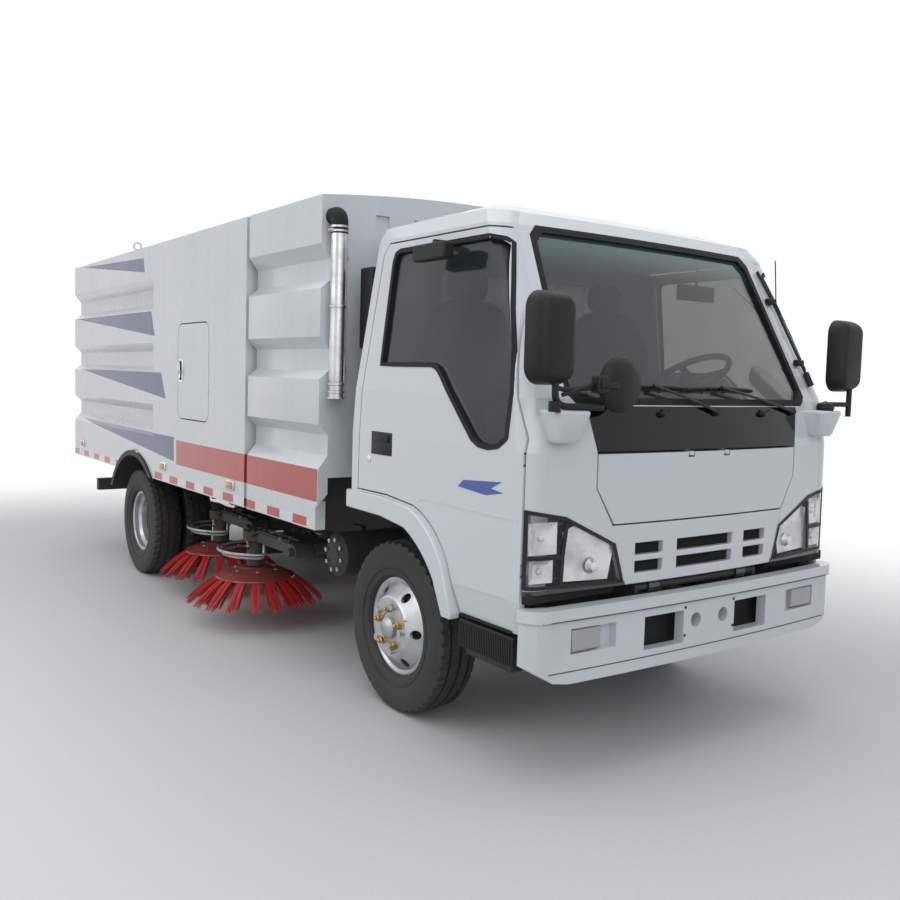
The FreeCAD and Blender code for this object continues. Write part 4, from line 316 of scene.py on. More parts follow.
def paint(name, colour, gloss=0.20, film=0.11, coat=0.5, peel=0.00004, shine=0.5):
    """Sprayed paint with orange peel, faint mottling and a dust film."""
    finish = Finish(name)
    shade = finish.ramp(finish.noise(1.3, 3), (0.25, 0.8), (0.75, 1.0))
    base = finish.mix([c * 0.88 for c in colour], colour, shade)
    base = road_film(finish, base, most=film)
    rough = finish.noise(3, 1) * 0.06 + gloss
    finishes[name] = finish.surface(base, rough, 0.0, finish.noise(380, 2), peel,
                                    Coat_Weight=coat, Coat_Roughness=0.06, Specular_IOR_Level=shine)


def metal(name, colour, rough=0.35, grain=0.0002, scale=180, film=0.3, metallic=1.0):
    """Bare or plated metal with a fine grain and scattered stain."""
    finish = Finish(name)
    stain = finish.ramp(finish.noise(9, 6), (0.4, 0.0), (0.75, 1.0))
    base = finish.mix(colour, [c * 0.55 for c in colour], stain)
    base = road_film(finish, base, most=film)
    finishes[name] = finish.surface(base, stain * 0.25 + rough, metallic, finish.noise(scale, 3), grain)


def dull(name, colour, rough=0.6, grain=0.0003, scale=260, film=0.35, fleck=0.75):
    """Moulded plastic, rubber or black chassis paint."""
    finish = Finish(name)
    fade = finish.ramp(finish.noise(5, 5), (0.3, 0.0), (0.75, 1.0))
    base = finish.mix(colour, [c * fleck + 0.012 for c in colour], fade)
    base = road_film(finish, base, most=film)
    finishes[name] = finish.surface(base, fade * 0.15 + rough, 0.0, finish.noise(scale, 4), grain,
                                    Specular_IOR_Level=0.25)


print("recipes ready")

# %% [markdown]
# ### The colours
#
# The white leans a little to blue, as fleet white does. Blacks stay just off zero and have less
# shine than usual, or a pale room would wash them out to grey.

# %% Plain finishes
WHITE = (0.68, 0.715, 0.745)
paint("white_paint", WHITE)
paint("black_gloss", (0.006, 0.006, 0.008), gloss=0.08, film=0.03, coat=0.15, shine=0.25)
dull("frame_black", (0.022, 0.022, 0.024), rough=0.48, film=0.3)
metal("axle_iron", (0.05, 0.048, 0.045), rough=0.5, film=0.45, metallic=0.4)
metal("spring_steel", (0.07, 0.066, 0.06), rough=0.5, film=0.45, metallic=0.5)
metal("wheel_silver", (0.62, 0.64, 0.67), rough=0.3, grain=0.0001, film=0.22, metallic=0.75)
metal("galvanised", (0.52, 0.53, 0.54), rough=0.38, grain=0.0003, scale=60, film=0.12)
metal("stainless", (0.60, 0.61, 0.62), rough=0.22, film=0.05)
metal("chrome", (0.82, 0.84, 0.86), rough=0.06, grain=0.00002, film=0.02)
metal("brass", (0.55, 0.38, 0.14), rough=0.32, film=0.12)
metal("reflector", (0.86, 0.88, 0.90), rough=0.22, grain=0.00002, film=0.0, metallic=0.55)
dull("black_plastic", (0.008, 0.008, 0.009), rough=0.40, film=0.12, fleck=0.5)
dull("rubber_black", (0.007, 0.007, 0.008), rough=0.58, film=0.10, fleck=0.5)
dull("interior_grey", (0.12, 0.125, 0.135), rough=0.68, film=0.0)
# A flat matte near-black that is painted shade: it fills the bumper's openings and the latch dishes, and is
# partly the radiator's own black.
dull("dark_inside", (0.012, 0.012, 0.012), rough=0.8, film=0.1)
paint("brush_red_steel", (0.24, 0.012, 0.014), gloss=0.3, film=0.3, coat=0.2)
paint("stripe_blue", (0.02, 0.07, 0.36), gloss=0.25, film=0.08)
print("plain finishes", len(finishes))

# %% [markdown]
# ### Rubber and bristles
#
# A tyre is black on its walls and greys where it meets the road. Bristles are bright plastic that
# darkens towards the dirty tips. Both fades read the height in the piece's own coordinates.

# %% Rubber and bristles
tyre = Finish("tyre")
worn = tyre.ramp(tyre.noise(24, 5), (0.35, 0.0), (0.8, 1.0))
rubber = tyre.mix((0.010, 0.010, 0.011), (0.032, 0.031, 0.029), worn)
rubber = road_film(tyre, rubber, low=0.0, high=0.8, most=0.18)
finishes["tyre"] = tyre.surface(rubber, worn * 0.2 + 0.6, 0.0, tyre.noise(300, 4), 0.0006)

bristle = Finish("brush_red")
tips = bristle.node("ShaderNodeMapRange", {"clamp": True},
                    {"Value": bristle.z, "From Min": 0.14, "From Max": 0.28,
                     "To Min": 0.55, "To Max": 0.0})
strands = bristle.noise(420, 2)
bright = bristle.mix((0.62, 0.018, 0.016), (0.36, 0.012, 0.012), strands)
bright = bristle.mix(bright, (0.20, 0.035, 0.028), tips * bristle.noise(16, 4))
finishes["brush_red"] = bristle.surface(bright, strands * 0.2 + 0.35, 0.0, strands, 0.0003)
print("rubber and bristles ready")

# %% [markdown]
# ### Glass and lamps
#
# The panes are one sheet each, so real refraction would bend the view for nothing: a dark surface
# that lets part of the light through looks the same and renders fast. The windscreen turns green
# and denser towards its top. Lamp lenses are clear and fluted, coloured ones have square prisms.

# %% Glass and lamps
glass = Finish("glass_clear")
haze = glass.ramp(glass.noise(2.1, 5), (0.3, 0.0), (0.8, 1.0))
finishes["glass_clear"] = glass.surface(
    glass.mix((0.012, 0.022, 0.022), (0.05, 0.07, 0.07), haze), haze * 0.03 + 0.015, 0.0,
    glass.noise(4, 2), 0.0002, alpha=haze * 0.1 + 0.42, IOR=1.5, Coat_Weight=0.6, Coat_Roughness=0.02)

sun_band = Finish("sun_band")
sun_fade = sun_band.node("ShaderNodeMapRange", {"clamp": True},
                         {"Value": sun_band.z, "From Min": 1.93, "From Max": 2.06,
                          "To Min": 0.40, "To Max": 0.86})
finishes["sun_band"] = sun_band.surface(
    sun_band.mix((0.012, 0.022, 0.022), (0.06, 0.15, 0.13), (sun_fade * 1.8 - 0.6).clipped()),
    sun_band.noise(3, 3) * 0.03 + 0.015, 0.0, sun_band.noise(4, 2), 0.0002,
    alpha=sun_fade, IOR=1.6, Coat_Weight=1.0, Coat_Roughness=0.02)

lens = Finish("lamp_glass")
fluting = lens.node("ShaderNodeTexWave", {"bands_direction": "X"},
                    {"Vector": lens.place, "Scale": 26.0, "Distortion": 0.3})
finishes["lamp_glass"] = lens.surface(
    lens.mix((0.16, 0.18, 0.19), (0.26, 0.28, 0.30), lens.noise(18, 3)), fluting * 0.04 + 0.03, 0.0,
    fluting, 0.0003, alpha=lens.noise(9, 2) * 0.06 + 0.09, Coat_Weight=1.0, Coat_Roughness=0.02)


def lamp_colour(name, colour):
    """A coloured lens with square prisms moulded into it."""
    finish = Finish(name)
    prisms = finish.node("ShaderNodeTexChecker", {}, {"Vector": finish.place, "Scale": 190.0}, out=1)
    base = finish.mix(colour, [c * 0.6 for c in colour], prisms * 0.5)
    finishes[name] = finish.surface(base, prisms * 0.08 + 0.1, 0.0, prisms, 0.0008,
                                    Coat_Weight=0.6, Coat_Roughness=0.05)


lamp_colour("lamp_red", (0.50, 0.010, 0.008))
lamp_colour("lamp_amber", (0.85, 0.22, 0.012))
lamp_colour("lamp_white", (0.50, 0.51, 0.50))
print("glass and lamps ready")

# %% [markdown]
# ### Cab paint and seat cloth
#
# The cab is one pressed shell in two colours: white above, and black in the band under the lamps.
# The seat cloth is a fine check, woven from cells that also raise the thread.

# %% Cab paint and cloth
shell = Finish("cab_white")
above_band = shell.z.above(0.742).math("MAXIMUM", shell.y.above(FRONT_AXLE - 0.88))
finishes["cab_white"] = shell.surface(
    road_film(shell, shell.mix((0.014, 0.014, 0.015), WHITE, above_band), most=0.16),
    shell.noise(3, 1) * 0.06 + 0.22, 0.0, shell.noise(380, 2), 0.00004, Coat_Weight=0.5, Coat_Roughness=0.06)

cloth = Finish("seat_fabric")
weave = cloth.node("ShaderNodeTexVoronoi", {}, {"Vector": cloth.place, "Scale": 260.0})
finishes["seat_fabric"] = cloth.surface(
    cloth.mix((0.035, 0.038, 0.048), (0.075, 0.08, 0.095), (cloth.noise(22, 4) * weave * 3).clipped()),
    weave * 0.2 + 0.75, 0.0, weave, 0.0012)
print("finishes", len(finishes))

# %% [markdown]
# ### The body's livery
#
# The white body carries a red band low down behind the cab, four long navy wedges that thin out
# towards the tail, and red and white tape along the skirt. All of it is one material, made from
# straight edges on the side view, so the stripes run across the gap between the two body modules
# and over the ribs without a seam. A picture could be wrapped on instead, but it would have to be
# drawn first, and straight edges stay sharp at any distance.

# %% Livery
BAND_RED, WEDGE_NAVY = (0.46, 0.016, 0.020), (0.018, 0.035, 0.17)
TAPE_WHITE, TAPE_RED, STREAK = (0.78, 0.78, 0.78), (0.52, 0.012, 0.012), (0.33, 0.33, 0.31)
TAPE_STEP = 0.30

livery = Finish("body_paint")
flank = livery.x.size().above(0.925)
wedges = None
for corners in (
    ((4.727, 1.067), (2.450, 1.059), (2.447, 0.902)),
    ((4.757, 1.477), (2.705, 1.470), (2.608, 1.299)),
    ((4.848, 1.892), (2.911, 1.882), (2.837, 1.714)),
    ((4.662, 2.309), (3.078, 2.252), (3.050, 2.152)),
):
    wedge = livery.triangle([(FRONT_AXLE + behind, z) for behind, z in corners])
    wedges = wedge if wedges is None else (wedges + wedge).clipped()
band = livery.y.between(FRONT_AXLE + 0.475, FRONT_AXLE + 2.405) * livery.z.between(0.887, 1.043)
tape = livery.z.between(0.757, 0.802)
tape_turn = (livery.y / TAPE_STEP).math("FRACT").math("ABSOLUTE").above(0.5)
white = livery.mix((0.64, 0.68, 0.71), (0.71, 0.745, 0.77),
                   livery.ramp(livery.noise(1.1, 3), (0.3, 0.0), (0.7, 1.0)))
coloured = livery.mix(white, BAND_RED, band * flank)
coloured = livery.mix(coloured, WEDGE_NAVY, wedges * flank)
coloured = livery.mix(coloured, TAPE_WHITE, tape * flank)
coloured = livery.mix(coloured, TAPE_RED, tape * flank * tape_turn)
streaks = livery.ramp(livery.noise(14, 5, stretch=(1, 1, 0.06)), (0.48, 0.0), (0.8, 1.0))
coloured = livery.mix(coloured, STREAK, streaks * 0.12)
finishes["body_paint"] = livery.surface(
    road_film(livery, coloured, low=0.7, high=1.7, most=0.18), livery.noise(3, 1) * 0.08 + 0.24, 0.0,
    livery.noise(380, 2), 0.00004, Coat_Weight=0.4, Coat_Roughness=0.08)
print("livery nodes", len(livery.tree.nodes))

# %% [markdown]
# ## From a mesh to a piece
#
# Each piece is a mesh in the truck's own coordinates, on an object that stays at the origin. To
# become part of the truck it is given a finish and the body that it moves with.

# %% Pieces
def finished(name, bm, finish, body, slot=None, smooth=35, replaces=()):
    """A mesh made into a piece: given its finish and the body that it rides on. The slot is not used."""
    bmesh.ops.remove_doubles(bm, verts=bm.verts, dist=1e-6)
    bmesh.ops.recalc_face_normals(bm, faces=bm.faces)
    mesh = bpy.data.meshes.new(name)
    bm.to_mesh(mesh)
    bm.free()
    return piece(name, mesh, finish, body, slot, smooth, replaces)


def piece(name, mesh, finish, body, slot=None, smooth=35, replaces=()):
    """An object for a mesh that is already in place."""
    kinds = [finish] if isinstance(finish, str) else list(finish)
    mesh.materials.clear()
    for kind in kinds:
        mesh.materials.append(finishes[kind])
    mesh.shade_smooth()
    mesh.set_sharp_from_angle(angle=math.radians(smooth))
    thing = bpy.data.objects.new(name, mesh)
    bpy.context.scene.collection.objects.link(thing)
    if replaces:
        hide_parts(*replaces)
    name_of_slot = slot or kinds[0]
    name_of_slot in slot_of.values()
    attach(thing, body)
    return thing


print("pieces ready")

# %% [markdown]
# ## Solid shapes
#
# Most fittings are one of three shapes: an outline pushed through a thickness, a box with soft
# edges, or a profile turned round an axis. Each helper adds to a mesh that is still being made, so
# a clamp with its bolts can be one piece.

# %% Solid shapes
def add_prism(bm, outline, depth):
    """A flat outline of points pushed along a vector. Returns the new faces."""
    near = [bm.verts.new(p) for p in outline]
    far = [bm.verts.new(Vector(p) + Vector(depth)) for p in outline]
    faces = [bm.faces.new(near), bm.faces.new(far[::-1])]
    for k in range(len(near)):
        n = (k + 1) % len(near)
        faces.append(bm.faces.new((near[k], far[k], far[n], near[n])))
    return faces


def add_box(bm, low, high, soft=0.0):
    """A box between two corners, its edges rounded by `soft`."""
    low, high = Vector(low), Vector(high)
    made = bmesh.ops.create_cube(bm, size=1.0)["verts"]
    middle, size = (low + high) / 2, high - low
    for v in made:
        v.co = Vector((middle[k] + v.co[k] * size[k] for k in range(3)))
    if soft:
        edges = list(dict.fromkeys(e for v in made for e in v.link_edges))
        bmesh.ops.bevel(bm, geom=edges, offset=soft, segments=2, affect="EDGES", profile=0.5)
    return made


def add_lathe(bm, profile, start, axis, steps=32):
    """A profile of (radius, along) turned about an axis through a point, closed at zero radius."""
    axis = Vector(axis).normalized()
    side = axis.orthogonal().normalized()
    other = axis.cross(side)
    rings = []
    for radius, along in profile:
        middle = Vector(start) + axis * along
        if radius < 1e-6:
            rings.append([bm.verts.new(middle)])
            continue
        rings.append([bm.verts.new(middle + (side * math.cos(t) + other * math.sin(t)) * radius)
                      for t in (math.tau * k / steps for k in range(steps))])
    for first, second in zip(rings, rings[1:]):
        for k in range(steps):
            n = (k + 1) % steps
            corners = [first[k % len(first)], first[n % len(first)],
                       second[n % len(second)], second[k % len(second)]]
            corners = list(dict.fromkeys(corners))
            if len(corners) > 2:
                bm.faces.new(corners)


print("solid shapes ready")

# %% [markdown]
# ## Tubes and strips
#
# Pipes, hoops, seals and creases follow a path. Curves with a bevel would do, but a mesh made ring
# by ring is closed at its ends and can follow a surface's own normals.

# %% Tubes and strips
def add_tube(bm, points, radius, sides=10, flat=1.0):
    """A tube along points, its ends closed; `flat` squashes it towards the path's own plane."""
    points = [Vector(p) for p in points]
    radii = radius if isinstance(radius, (list, tuple)) else [radius] * len(points)
    rings = []
    side = None
    for k, point in enumerate(points):
        before, after = points[max(k - 1, 0)], points[min(k + 1, len(points) - 1)]
        along = (after - before).normalized()
        side = along.orthogonal() if side is None else side - along * side.dot(along)
        side.normalize()
        other = along.cross(side)
        rings.append([bm.verts.new(point + (side * math.cos(t) + other * math.sin(t) * flat) * radii[k])
                      for t in (math.tau * j / sides for j in range(sides))])
    for first, second in zip(rings, rings[1:]):
        for k in range(sides):
            n = (k + 1) % sides
            bm.faces.new((first[k], first[n], second[n], second[k]))
    bm.faces.new(rings[0][::-1])
    bm.faces.new(rings[-1])


def bend(points, radius=0.05, steps=5):
    """A path's corners rounded into short arcs."""
    points = [Vector(p) for p in points]
    path = [points[0]]
    for before, corner, after in zip(points, points[1:], points[2:]):
        start = corner + (before - corner).normalized() * min(radius, (before - corner).length / 2)
        end = corner + (after - corner).normalized() * min(radius, (after - corner).length / 2)
        for k in range(steps + 1):
            t = k / steps
            path.append(start.lerp(corner, t).lerp(corner.lerp(end, t), t))
    path.append(points[-1])
    return path


def strip(bm, points, normals, width, thick, shift=0.0, sink=0.0, closed=False):
    """A flat strip along points on a surface. It can be shifted sideways, sunk, or closed on itself."""
    rows = []
    last = len(points) - 1
    for k, (point, normal) in enumerate(zip(points, normals)):
        before = points[k - 1] if k or closed else point
        after = points[(k + 1) % len(points)] if k < last or closed else point
        across = (Vector(after) - Vector(before)).normalized().cross(normal).normalized()
        lift = Vector(normal) * thick
        point = Vector(point) + across * shift - Vector(normal) * sink
        across = across * width / 2
        rows.append([bm.verts.new(p) for p in (point - across, point + across,
                                               point + across + lift, point - across + lift)])
    for first, second in zip(rows, rows[1:] + (rows[:1] if closed else [])):
        for k in range(4):
            n = (k + 1) % 4
            bm.faces.new((first[k], first[n], second[n], second[k]))
    if not closed:
        bm.faces.new(rows[0][::-1])
        bm.faces.new(rows[-1])


print("tubes and strips ready")

# %% [markdown]
# ## Finding the CAD surface
#
# A seal or a lock sits right only when it touches the panel. Typed coordinates would drift from a
# curved cab, so these helpers ask the CAD mesh: where a ray meets it, and where an outline runs.

# %% Surface finders
def edge_loops(node, keep):
    """Closed outlines round the faces of a CAD node that `keep` accepts, with normals, longest first."""
    source = bmesh.new()
    source.from_mesh(frame["nodes"][node].data)
    bmesh.ops.remove_doubles(source, verts=source.verts, dist=1e-5)
    source.normal_update()
    source.verts.ensure_lookup_table()
    kept = dict.fromkeys(face for face in source.faces if keep(face.normal, face.calc_center_median()))
    follow = {}
    for face in kept:
        for corner in face.loops:
            if not any(other in kept for other in corner.edge.link_faces if other != face):
                follow[corner.vert.index] = corner.link_loop_next.vert.index
    loops = []
    while follow:
        start, after = follow.popitem()
        path = [start]
        while after != start and after in follow:
            path.append(after)
            after = follow.pop(after)
        points = [source.verts[i].co.copy() for i in path]
        normals = [sum((f.normal for f in source.verts[i].link_faces if f in kept), Vector()).normalized()
                   for i in path]
        around = sum((a - b).length for a, b in zip(points, points[1:]))
        loops.append((around, len(loops), points, normals))
    source.free()
    return [(points, normals) for _, _, points, normals in sorted(loops, reverse=True)]


trees = {}


def hit(nodes, start, direction, needed=True):
    """Where a ray first meets some CAD nodes, and the surface's normal there."""
    key = tuple(nodes)
    if key not in trees:
        verts, faces = [], []
        for node in nodes:
            mesh = frame["nodes"][node].data
            first = len(verts)
            verts += [v.co.copy() for v in mesh.vertices]
            faces += [[first + i for i in p.vertices] for p in mesh.polygons]
        trees[key] = BVHTree.FromPolygons(verts, faces)
    place, normal, _, _ = trees[key].ray_cast(Vector(start), Vector(direction))
    if place is None:
        if needed:
            raise ValueError(f"nothing of {nodes} from {tuple(start)}")
        return None
    if normal.dot(Vector(direction)) > 0:
        normal = -normal
    return place, normal


def front_hit(x, z, *nodes, needed=True):
    return hit(nodes, (x, -4, z), (0, 1, 0), needed)


def side_hit(side, y, z, *nodes, needed=True):
    return hit(nodes, (2 * side, y, z), (-side, 0, 0), needed)


def traced(points, steps, cast):
    """Points and normals along a path of pairs, cast onto a surface; misses are left out."""
    found = []
    for (a, b), (c, d) in zip(points, points[1:]):
        for k in range(steps):
            found.append(cast(a + (c - a) * k / steps, b + (d - b) * k / steps))
    found.append(cast(*points[-1]))
    found = [item for item in found if item]
    return [place for place, _ in found], [normal for _, normal in found]


print("surface finders ready")

# %% [markdown]
# ## Two repeaters in Geometry Nodes
#
# Wheel nuts, bristles, step teeth and valve fittings are one shape many times over. Copying meshes
# in a loop works too, but a node tree keeps the count and spacing as inputs. Every tree starts and
# ends alike: copies made real, then given their material.

# %% Tree ends
def new_tree(name, inputs):
    tree = bpy.data.node_groups.new(name, "GeometryNodeTree")
    tree.interface.new_socket("Shape", in_out="INPUT", socket_type="NodeSocketGeometry")
    for label, kind in inputs:
        tree.interface.new_socket(label, in_out="INPUT", socket_type="NodeSocket" + kind)
    tree.interface.new_socket("Geometry", in_out="OUTPUT", socket_type="NodeSocketGeometry")
    start = tree.nodes.new("NodeGroupInput")
    end = tree.nodes.new("NodeGroupOutput")

    def add(kind, links=None, **settings):
        made = tree.nodes.new("GeometryNode" + kind if not kind.startswith(("Function", "Shader")) else kind)
        for key, value in settings.items():
            setattr(made, key, value)
        for key, value in (links or {}).items():
            if isinstance(value, bpy.types.NodeSocket):
                tree.links.new(value, made.inputs[key])
            else:
                made.inputs[key].default_value = value
        return made

    return tree, start.outputs, end.inputs, add


def close_tree(add, inputs, result, output):
    real = add("RealizeInstances", {0: result})
    dressed = add("SetMaterial", {0: real.outputs[0], "Material": inputs["Material"]})
    dressed.id_data.links.new(dressed.outputs[0], output[0])


print("tree ends ready")

# %% [markdown]
# ### Copies about an axis, and copies in line
#
# The first tree turns copies about an axis, each with a random twist and size so that bristles
# don't look stamped. The second sets copies along a line at an even step.

# %% Two trees
turned_tree, given, result, add = new_tree("turned copies", [
    ("Count", "Int"), ("Centre", "Vector"), ("Axis", "Vector"), ("Start", "Float"), ("Twist", "Float"),
    ("Spread", "Float"), ("Seed", "Int"), ("Material", "Material")])
line = add("MeshLine", {"Count": given["Count"], "Start Location": given["Centre"], "Offset": (0, 0, 0)})
negative = add("ShaderNodeVectorMath", {0: given["Centre"], 1: (-1.0, -1.0, -1.0)}, operation="MULTIPLY")
local = add("Transform", {"Geometry": given["Shape"], "Translation": negative.outputs[0]})
index = add("InputIndex")
share = add("ShaderNodeMath", {0: index.outputs[0], 1: given["Count"]}, operation="DIVIDE")
angle = add("ShaderNodeMath", {0: share.outputs[0], 1: math.tau, 2: given["Start"]},
            operation="MULTIPLY_ADD")
wander = add("FunctionNodeRandomValue", {"Seed": given["Seed"]}, data_type="FLOAT")
wander.inputs[2].default_value = -1.0
wander.inputs[3].default_value = 1.0
shaken = add("ShaderNodeMath", {0: wander.outputs[1], 1: given["Twist"], 2: angle.outputs[0]},
             operation="MULTIPLY_ADD")
turn = add("FunctionNodeAxisAngleToRotation", {"Axis": given["Axis"], "Angle": shaken.outputs[0]})
size_wander = add("FunctionNodeRandomValue", {"Seed": given["Seed"]}, data_type="FLOAT")
size_wander.inputs[2].default_value = 0.0
size_wander.inputs[3].default_value = 1.0
size_step = add("ShaderNodeMath", {0: size_wander.outputs[1], 1: given["Spread"]}, operation="MULTIPLY")
size = add("ShaderNodeMath", {0: 1.0, 1: size_step.outputs[0]}, operation="SUBTRACT")
copies = add("InstanceOnPoints", {"Points": line.outputs[0], "Instance": local.outputs[0],
                                  "Rotation": turn.outputs[0], "Scale": size.outputs[0]})
close_tree(add, given, copies.outputs[0], result)

line_tree, given, result, add = new_tree("copies in line", [
    ("Count", "Int"), ("Step", "Vector"), ("Material", "Material")])
line = add("MeshLine", {"Count": given["Count"], "Start Location": (0, 0, 0), "Offset": given["Step"]})
copies = add("InstanceOnPoints", {"Points": line.outputs[0], "Instance": given["Shape"]})
close_tree(add, given, copies.outputs[0], result)
print("trees", len(turned_tree.nodes), len(line_tree.nodes))

# %% [markdown]
# ### Growing a piece
#
# The mould goes through a tree and its result is kept as a plain mesh, because a repeat that lives
# only in a modifier can't ride on a body or be exported.

# %% Grown pieces
def grown(name, bm, tree, finish, body, slot=None, smooth=35, replaces=(), **values):
    """A shape put through a repeater, kept as a plain mesh."""
    bmesh.ops.recalc_face_normals(bm, faces=bm.faces)
    mesh = bpy.data.meshes.new(name + "_one")
    bm.to_mesh(mesh)
    bm.free()
    mould = bpy.data.objects.new(name + "_one", mesh)
    bpy.context.scene.collection.objects.link(mould)
    modifier = mould.modifiers.new("repeat", "NODES")
    modifier.node_group = tree
    values["Material"] = finishes[finish]
    for item in tree.interface.items_tree:
        if item.in_out == "INPUT" and item.name.replace(" ", "_") in values:
            modifier[item.identifier] = values[item.name.replace(" ", "_")]
    bpy.context.view_layer.update()
    evaluated = mould.evaluated_get(bpy.context.evaluated_depsgraph_get())
    copy = bpy.data.meshes.new_from_object(evaluated)
    mould.modifiers.clear()
    bpy.data.objects.remove(mould)
    return piece(name, copy, finish, body, slot, smooth, replaces)


def ring(name, bm, count, centre, axis, finish, body, twist=0.0, spread=0.0, seed=1, start=0.0, **more):
    return grown(name, bm, turned_tree, finish, body, Count=count, Centre=tuple(centre),
                 Axis=tuple(axis), Twist=twist, Spread=spread, Seed=seed, Start=start, **more)


def row(name, bm, count, step, finish, body, **more):
    return grown(name, bm, line_tree, finish, body, Count=count, Step=tuple(step), **more)


print("repeaters ready")

# %% [markdown]
# ## Paint the CAD parts and soften their edges
#
# Every CAD node first takes its slot's finish. The pressed and cast parts then get a merged copy with
# a small rounding on its sharp edges, because a real edge catches light and a CAD edge doesn't.
# Thin curved shells keep their CAD mesh, since rounding would only tear them.

# %% CAD finishes and soft edges
for node, thing in frame["nodes"].items():
    thing.data.materials.clear()
    thing.data.materials.append(finishes["cab_white" if node == "cab_shell" else slot_of[node]])


def softened(node, width=0.004, segments=2, smooth=30, finish=None):
    """A merged copy of a CAD node with rounded sharp edges, standing in for it."""
    bm = bmesh.new()
    bm.from_mesh(frame["nodes"][node].data)
    bmesh.ops.remove_doubles(bm, verts=bm.verts, dist=2e-6)
    bmesh.ops.dissolve_limit(bm, angle_limit=math.radians(0.6), verts=bm.verts, edges=bm.edges)
    mesh = bpy.data.meshes.new(node + "_soft")
    bm.to_mesh(mesh)
    bm.free()
    soft = piece(node + "_finish", mesh, finish or slot_of[node], body_of(node), slot_of[node],
                 smooth, (node,))
    rounding = soft.modifiers.new("edges", "BEVEL")
    rounding.width = width
    rounding.segments = segments
    rounding.limit_method = "ANGLE"
    rounding.angle_limit = math.radians(smooth + 2)
    rounding.harden_normals = False
    return soft


EDGES = (  # CAD node, width of its rounded edge
    ("hopper_shell", 0.005), ("power_module", 0.005), ("tailgate", 0.004), ("side_hatch_right", 0.004),
    ("side_hatch_left", 0.004), ("front_bumper", 0.006), ("chassis_frame", 0.003), ("cab_steps", 0.006),
    ("wheel_arch_trims", 0.005), ("garnish_panel", 0.003), ("front_lid", 0.003), ("grille_panel", 0.004),
    ("dashboard", 0.012), ("tanks", 0.004), ("engine_block", 0.012), ("auxiliary_engine", 0.02),
    ("air_intake_duct", 0.01), ("rear_guard_bar", 0.006), ("suction_nozzle", 0.004),
    ("rear_mudguards", 0.003), ("front_axle_beam", 0.006), ("rear_axle", 0.004), ("leaf_springs", 0.002),
    ("brush_arm_front_right", 0.004), ("brush_arm_front_left", 0.004), ("brush_arm_rear_right", 0.004),
    ("brush_arm_rear_left", 0.004), ("knuckle_right", 0.003), ("knuckle_left", 0.003),
    ("door_fittings_right", 0.010), ("door_fittings_left", 0.010), ("tie_rod", 0.002),
)
for node, width in EDGES:
    softened(node, width)
print("soft pieces", len(EDGES))

# %% [markdown]
# ## Tyres
#
# A tyre is one profile turned round the axle in fine steps. The tread is cut while it turns: three
# straight grooves are in the profile, and on every few steps the shoulder points drop to make the
# side notches. Building it this way keeps the tread exactly round and its blocks evenly spaced.

# %% Tyres
TREAD = [  # share of half width, share of height from bead to tread
    (0.80, 0.00), (0.90, 0.05), (0.99, 0.30), (1.00, 0.48), (0.985, 0.66), (0.95, 0.80),
    (0.90, 0.905), (0.865, 0.955), (0.80, 0.975), (0.62, 0.988), (0.565, 0.988), (0.545, 0.925),
    (0.47, 0.925), (0.45, 0.993), (0.20, 0.998), (0.075, 1.0), (0.055, 0.932), (0.0, 0.932),
]
TYRE_STEPS = 264


def add_tyre(bm, middle, half_width=0.1, bead=0.222, outer=WHEEL_RADIUS - 0.0005):
    """One tyre about an axle point, with notched shoulders."""
    profile = [(-u, w) for u, w in TREAD] + [(u, w) for u, w in TREAD[-2::-1]]
    rings = []
    for step in range(TYRE_STEPS):
        angle = math.tau * step / TYRE_STEPS
        notch = step % 6 in (0, 1)
        sipe = step % 6 == 3
        ring_verts = []
        for u, w in profile:
            radius = bead + (outer - bead) * w
            if notch and 0.6 < abs(u) < 0.9 and w > 0.94:
                radius -= 0.009
            if sipe and 0.1 < abs(u) < 0.5 and w > 0.99:
                radius -= 0.004
            ring_verts.append(bm.verts.new(middle + Vector((
                u * half_width, math.sin(angle) * radius, math.cos(angle) * radius))))
        rings.append(ring_verts)
    inner = [[bm.verts.new(middle + Vector((u * half_width * 0.72, math.sin(a) * (bead - 0.004),
                                            math.cos(a) * (bead - 0.004)))) for u in (-1, 1)]
             for a in (math.tau * k / TYRE_STEPS for k in range(TYRE_STEPS))]
    for step in range(TYRE_STEPS):
        first, second = rings[step], rings[(step + 1) % TYRE_STEPS]
        for k in range(len(profile) - 1):
            bm.faces.new((first[k], first[k + 1], second[k + 1], second[k]))
        here, there = inner[step], inner[(step + 1) % TYRE_STEPS]
        bm.faces.new((first[0], second[0], there[0], here[0]))
        bm.faces.new((here[0], there[0], there[1], here[1]))
        bm.faces.new((here[1], there[1], second[-1], first[-1]))


def sidewall_rings(bm, middle, side, half_width=0.1):
    """Two raised bands on a tyre's outer wall."""
    for radius, proud in ((0.262, 0.985), (0.333, 0.96)):
        low, high = half_width * proud - 0.004, half_width * proud + 0.002
        add_lathe(bm, [(radius - 0.004, low), (radius - 0.002, high), (radius + 0.002, high),
                       (radius + 0.004, low)], middle, (side, 0, 0), 96)


WHEELS = {
    "front_right": (-1, FRONT_AXLE, (-0.752,)), "front_left": (1, FRONT_AXLE, (0.752,)),
    "rear_right": (-1, REAR_AXLE, (-0.836, -0.604)), "rear_left": (1, REAR_AXLE, (0.836, 0.604)),
}
for place, (side, axle, middles) in WHEELS.items():
    twin = len(middles) == 2
    node = ("tyres_" if twin else "tyre_") + place
    bm = bmesh.new()
    for middle in middles:
        add_tyre(bm, Vector((middle, axle, WHEEL_RADIUS)))
    sidewall_rings(bm, Vector((middles[0], axle, WHEEL_RADIUS)), side)
    finished(node + "_tread", bm, "tyre", body_of(node), "tyre", smooth=38, replaces=(node,))
print("tyres", list(WHEELS))

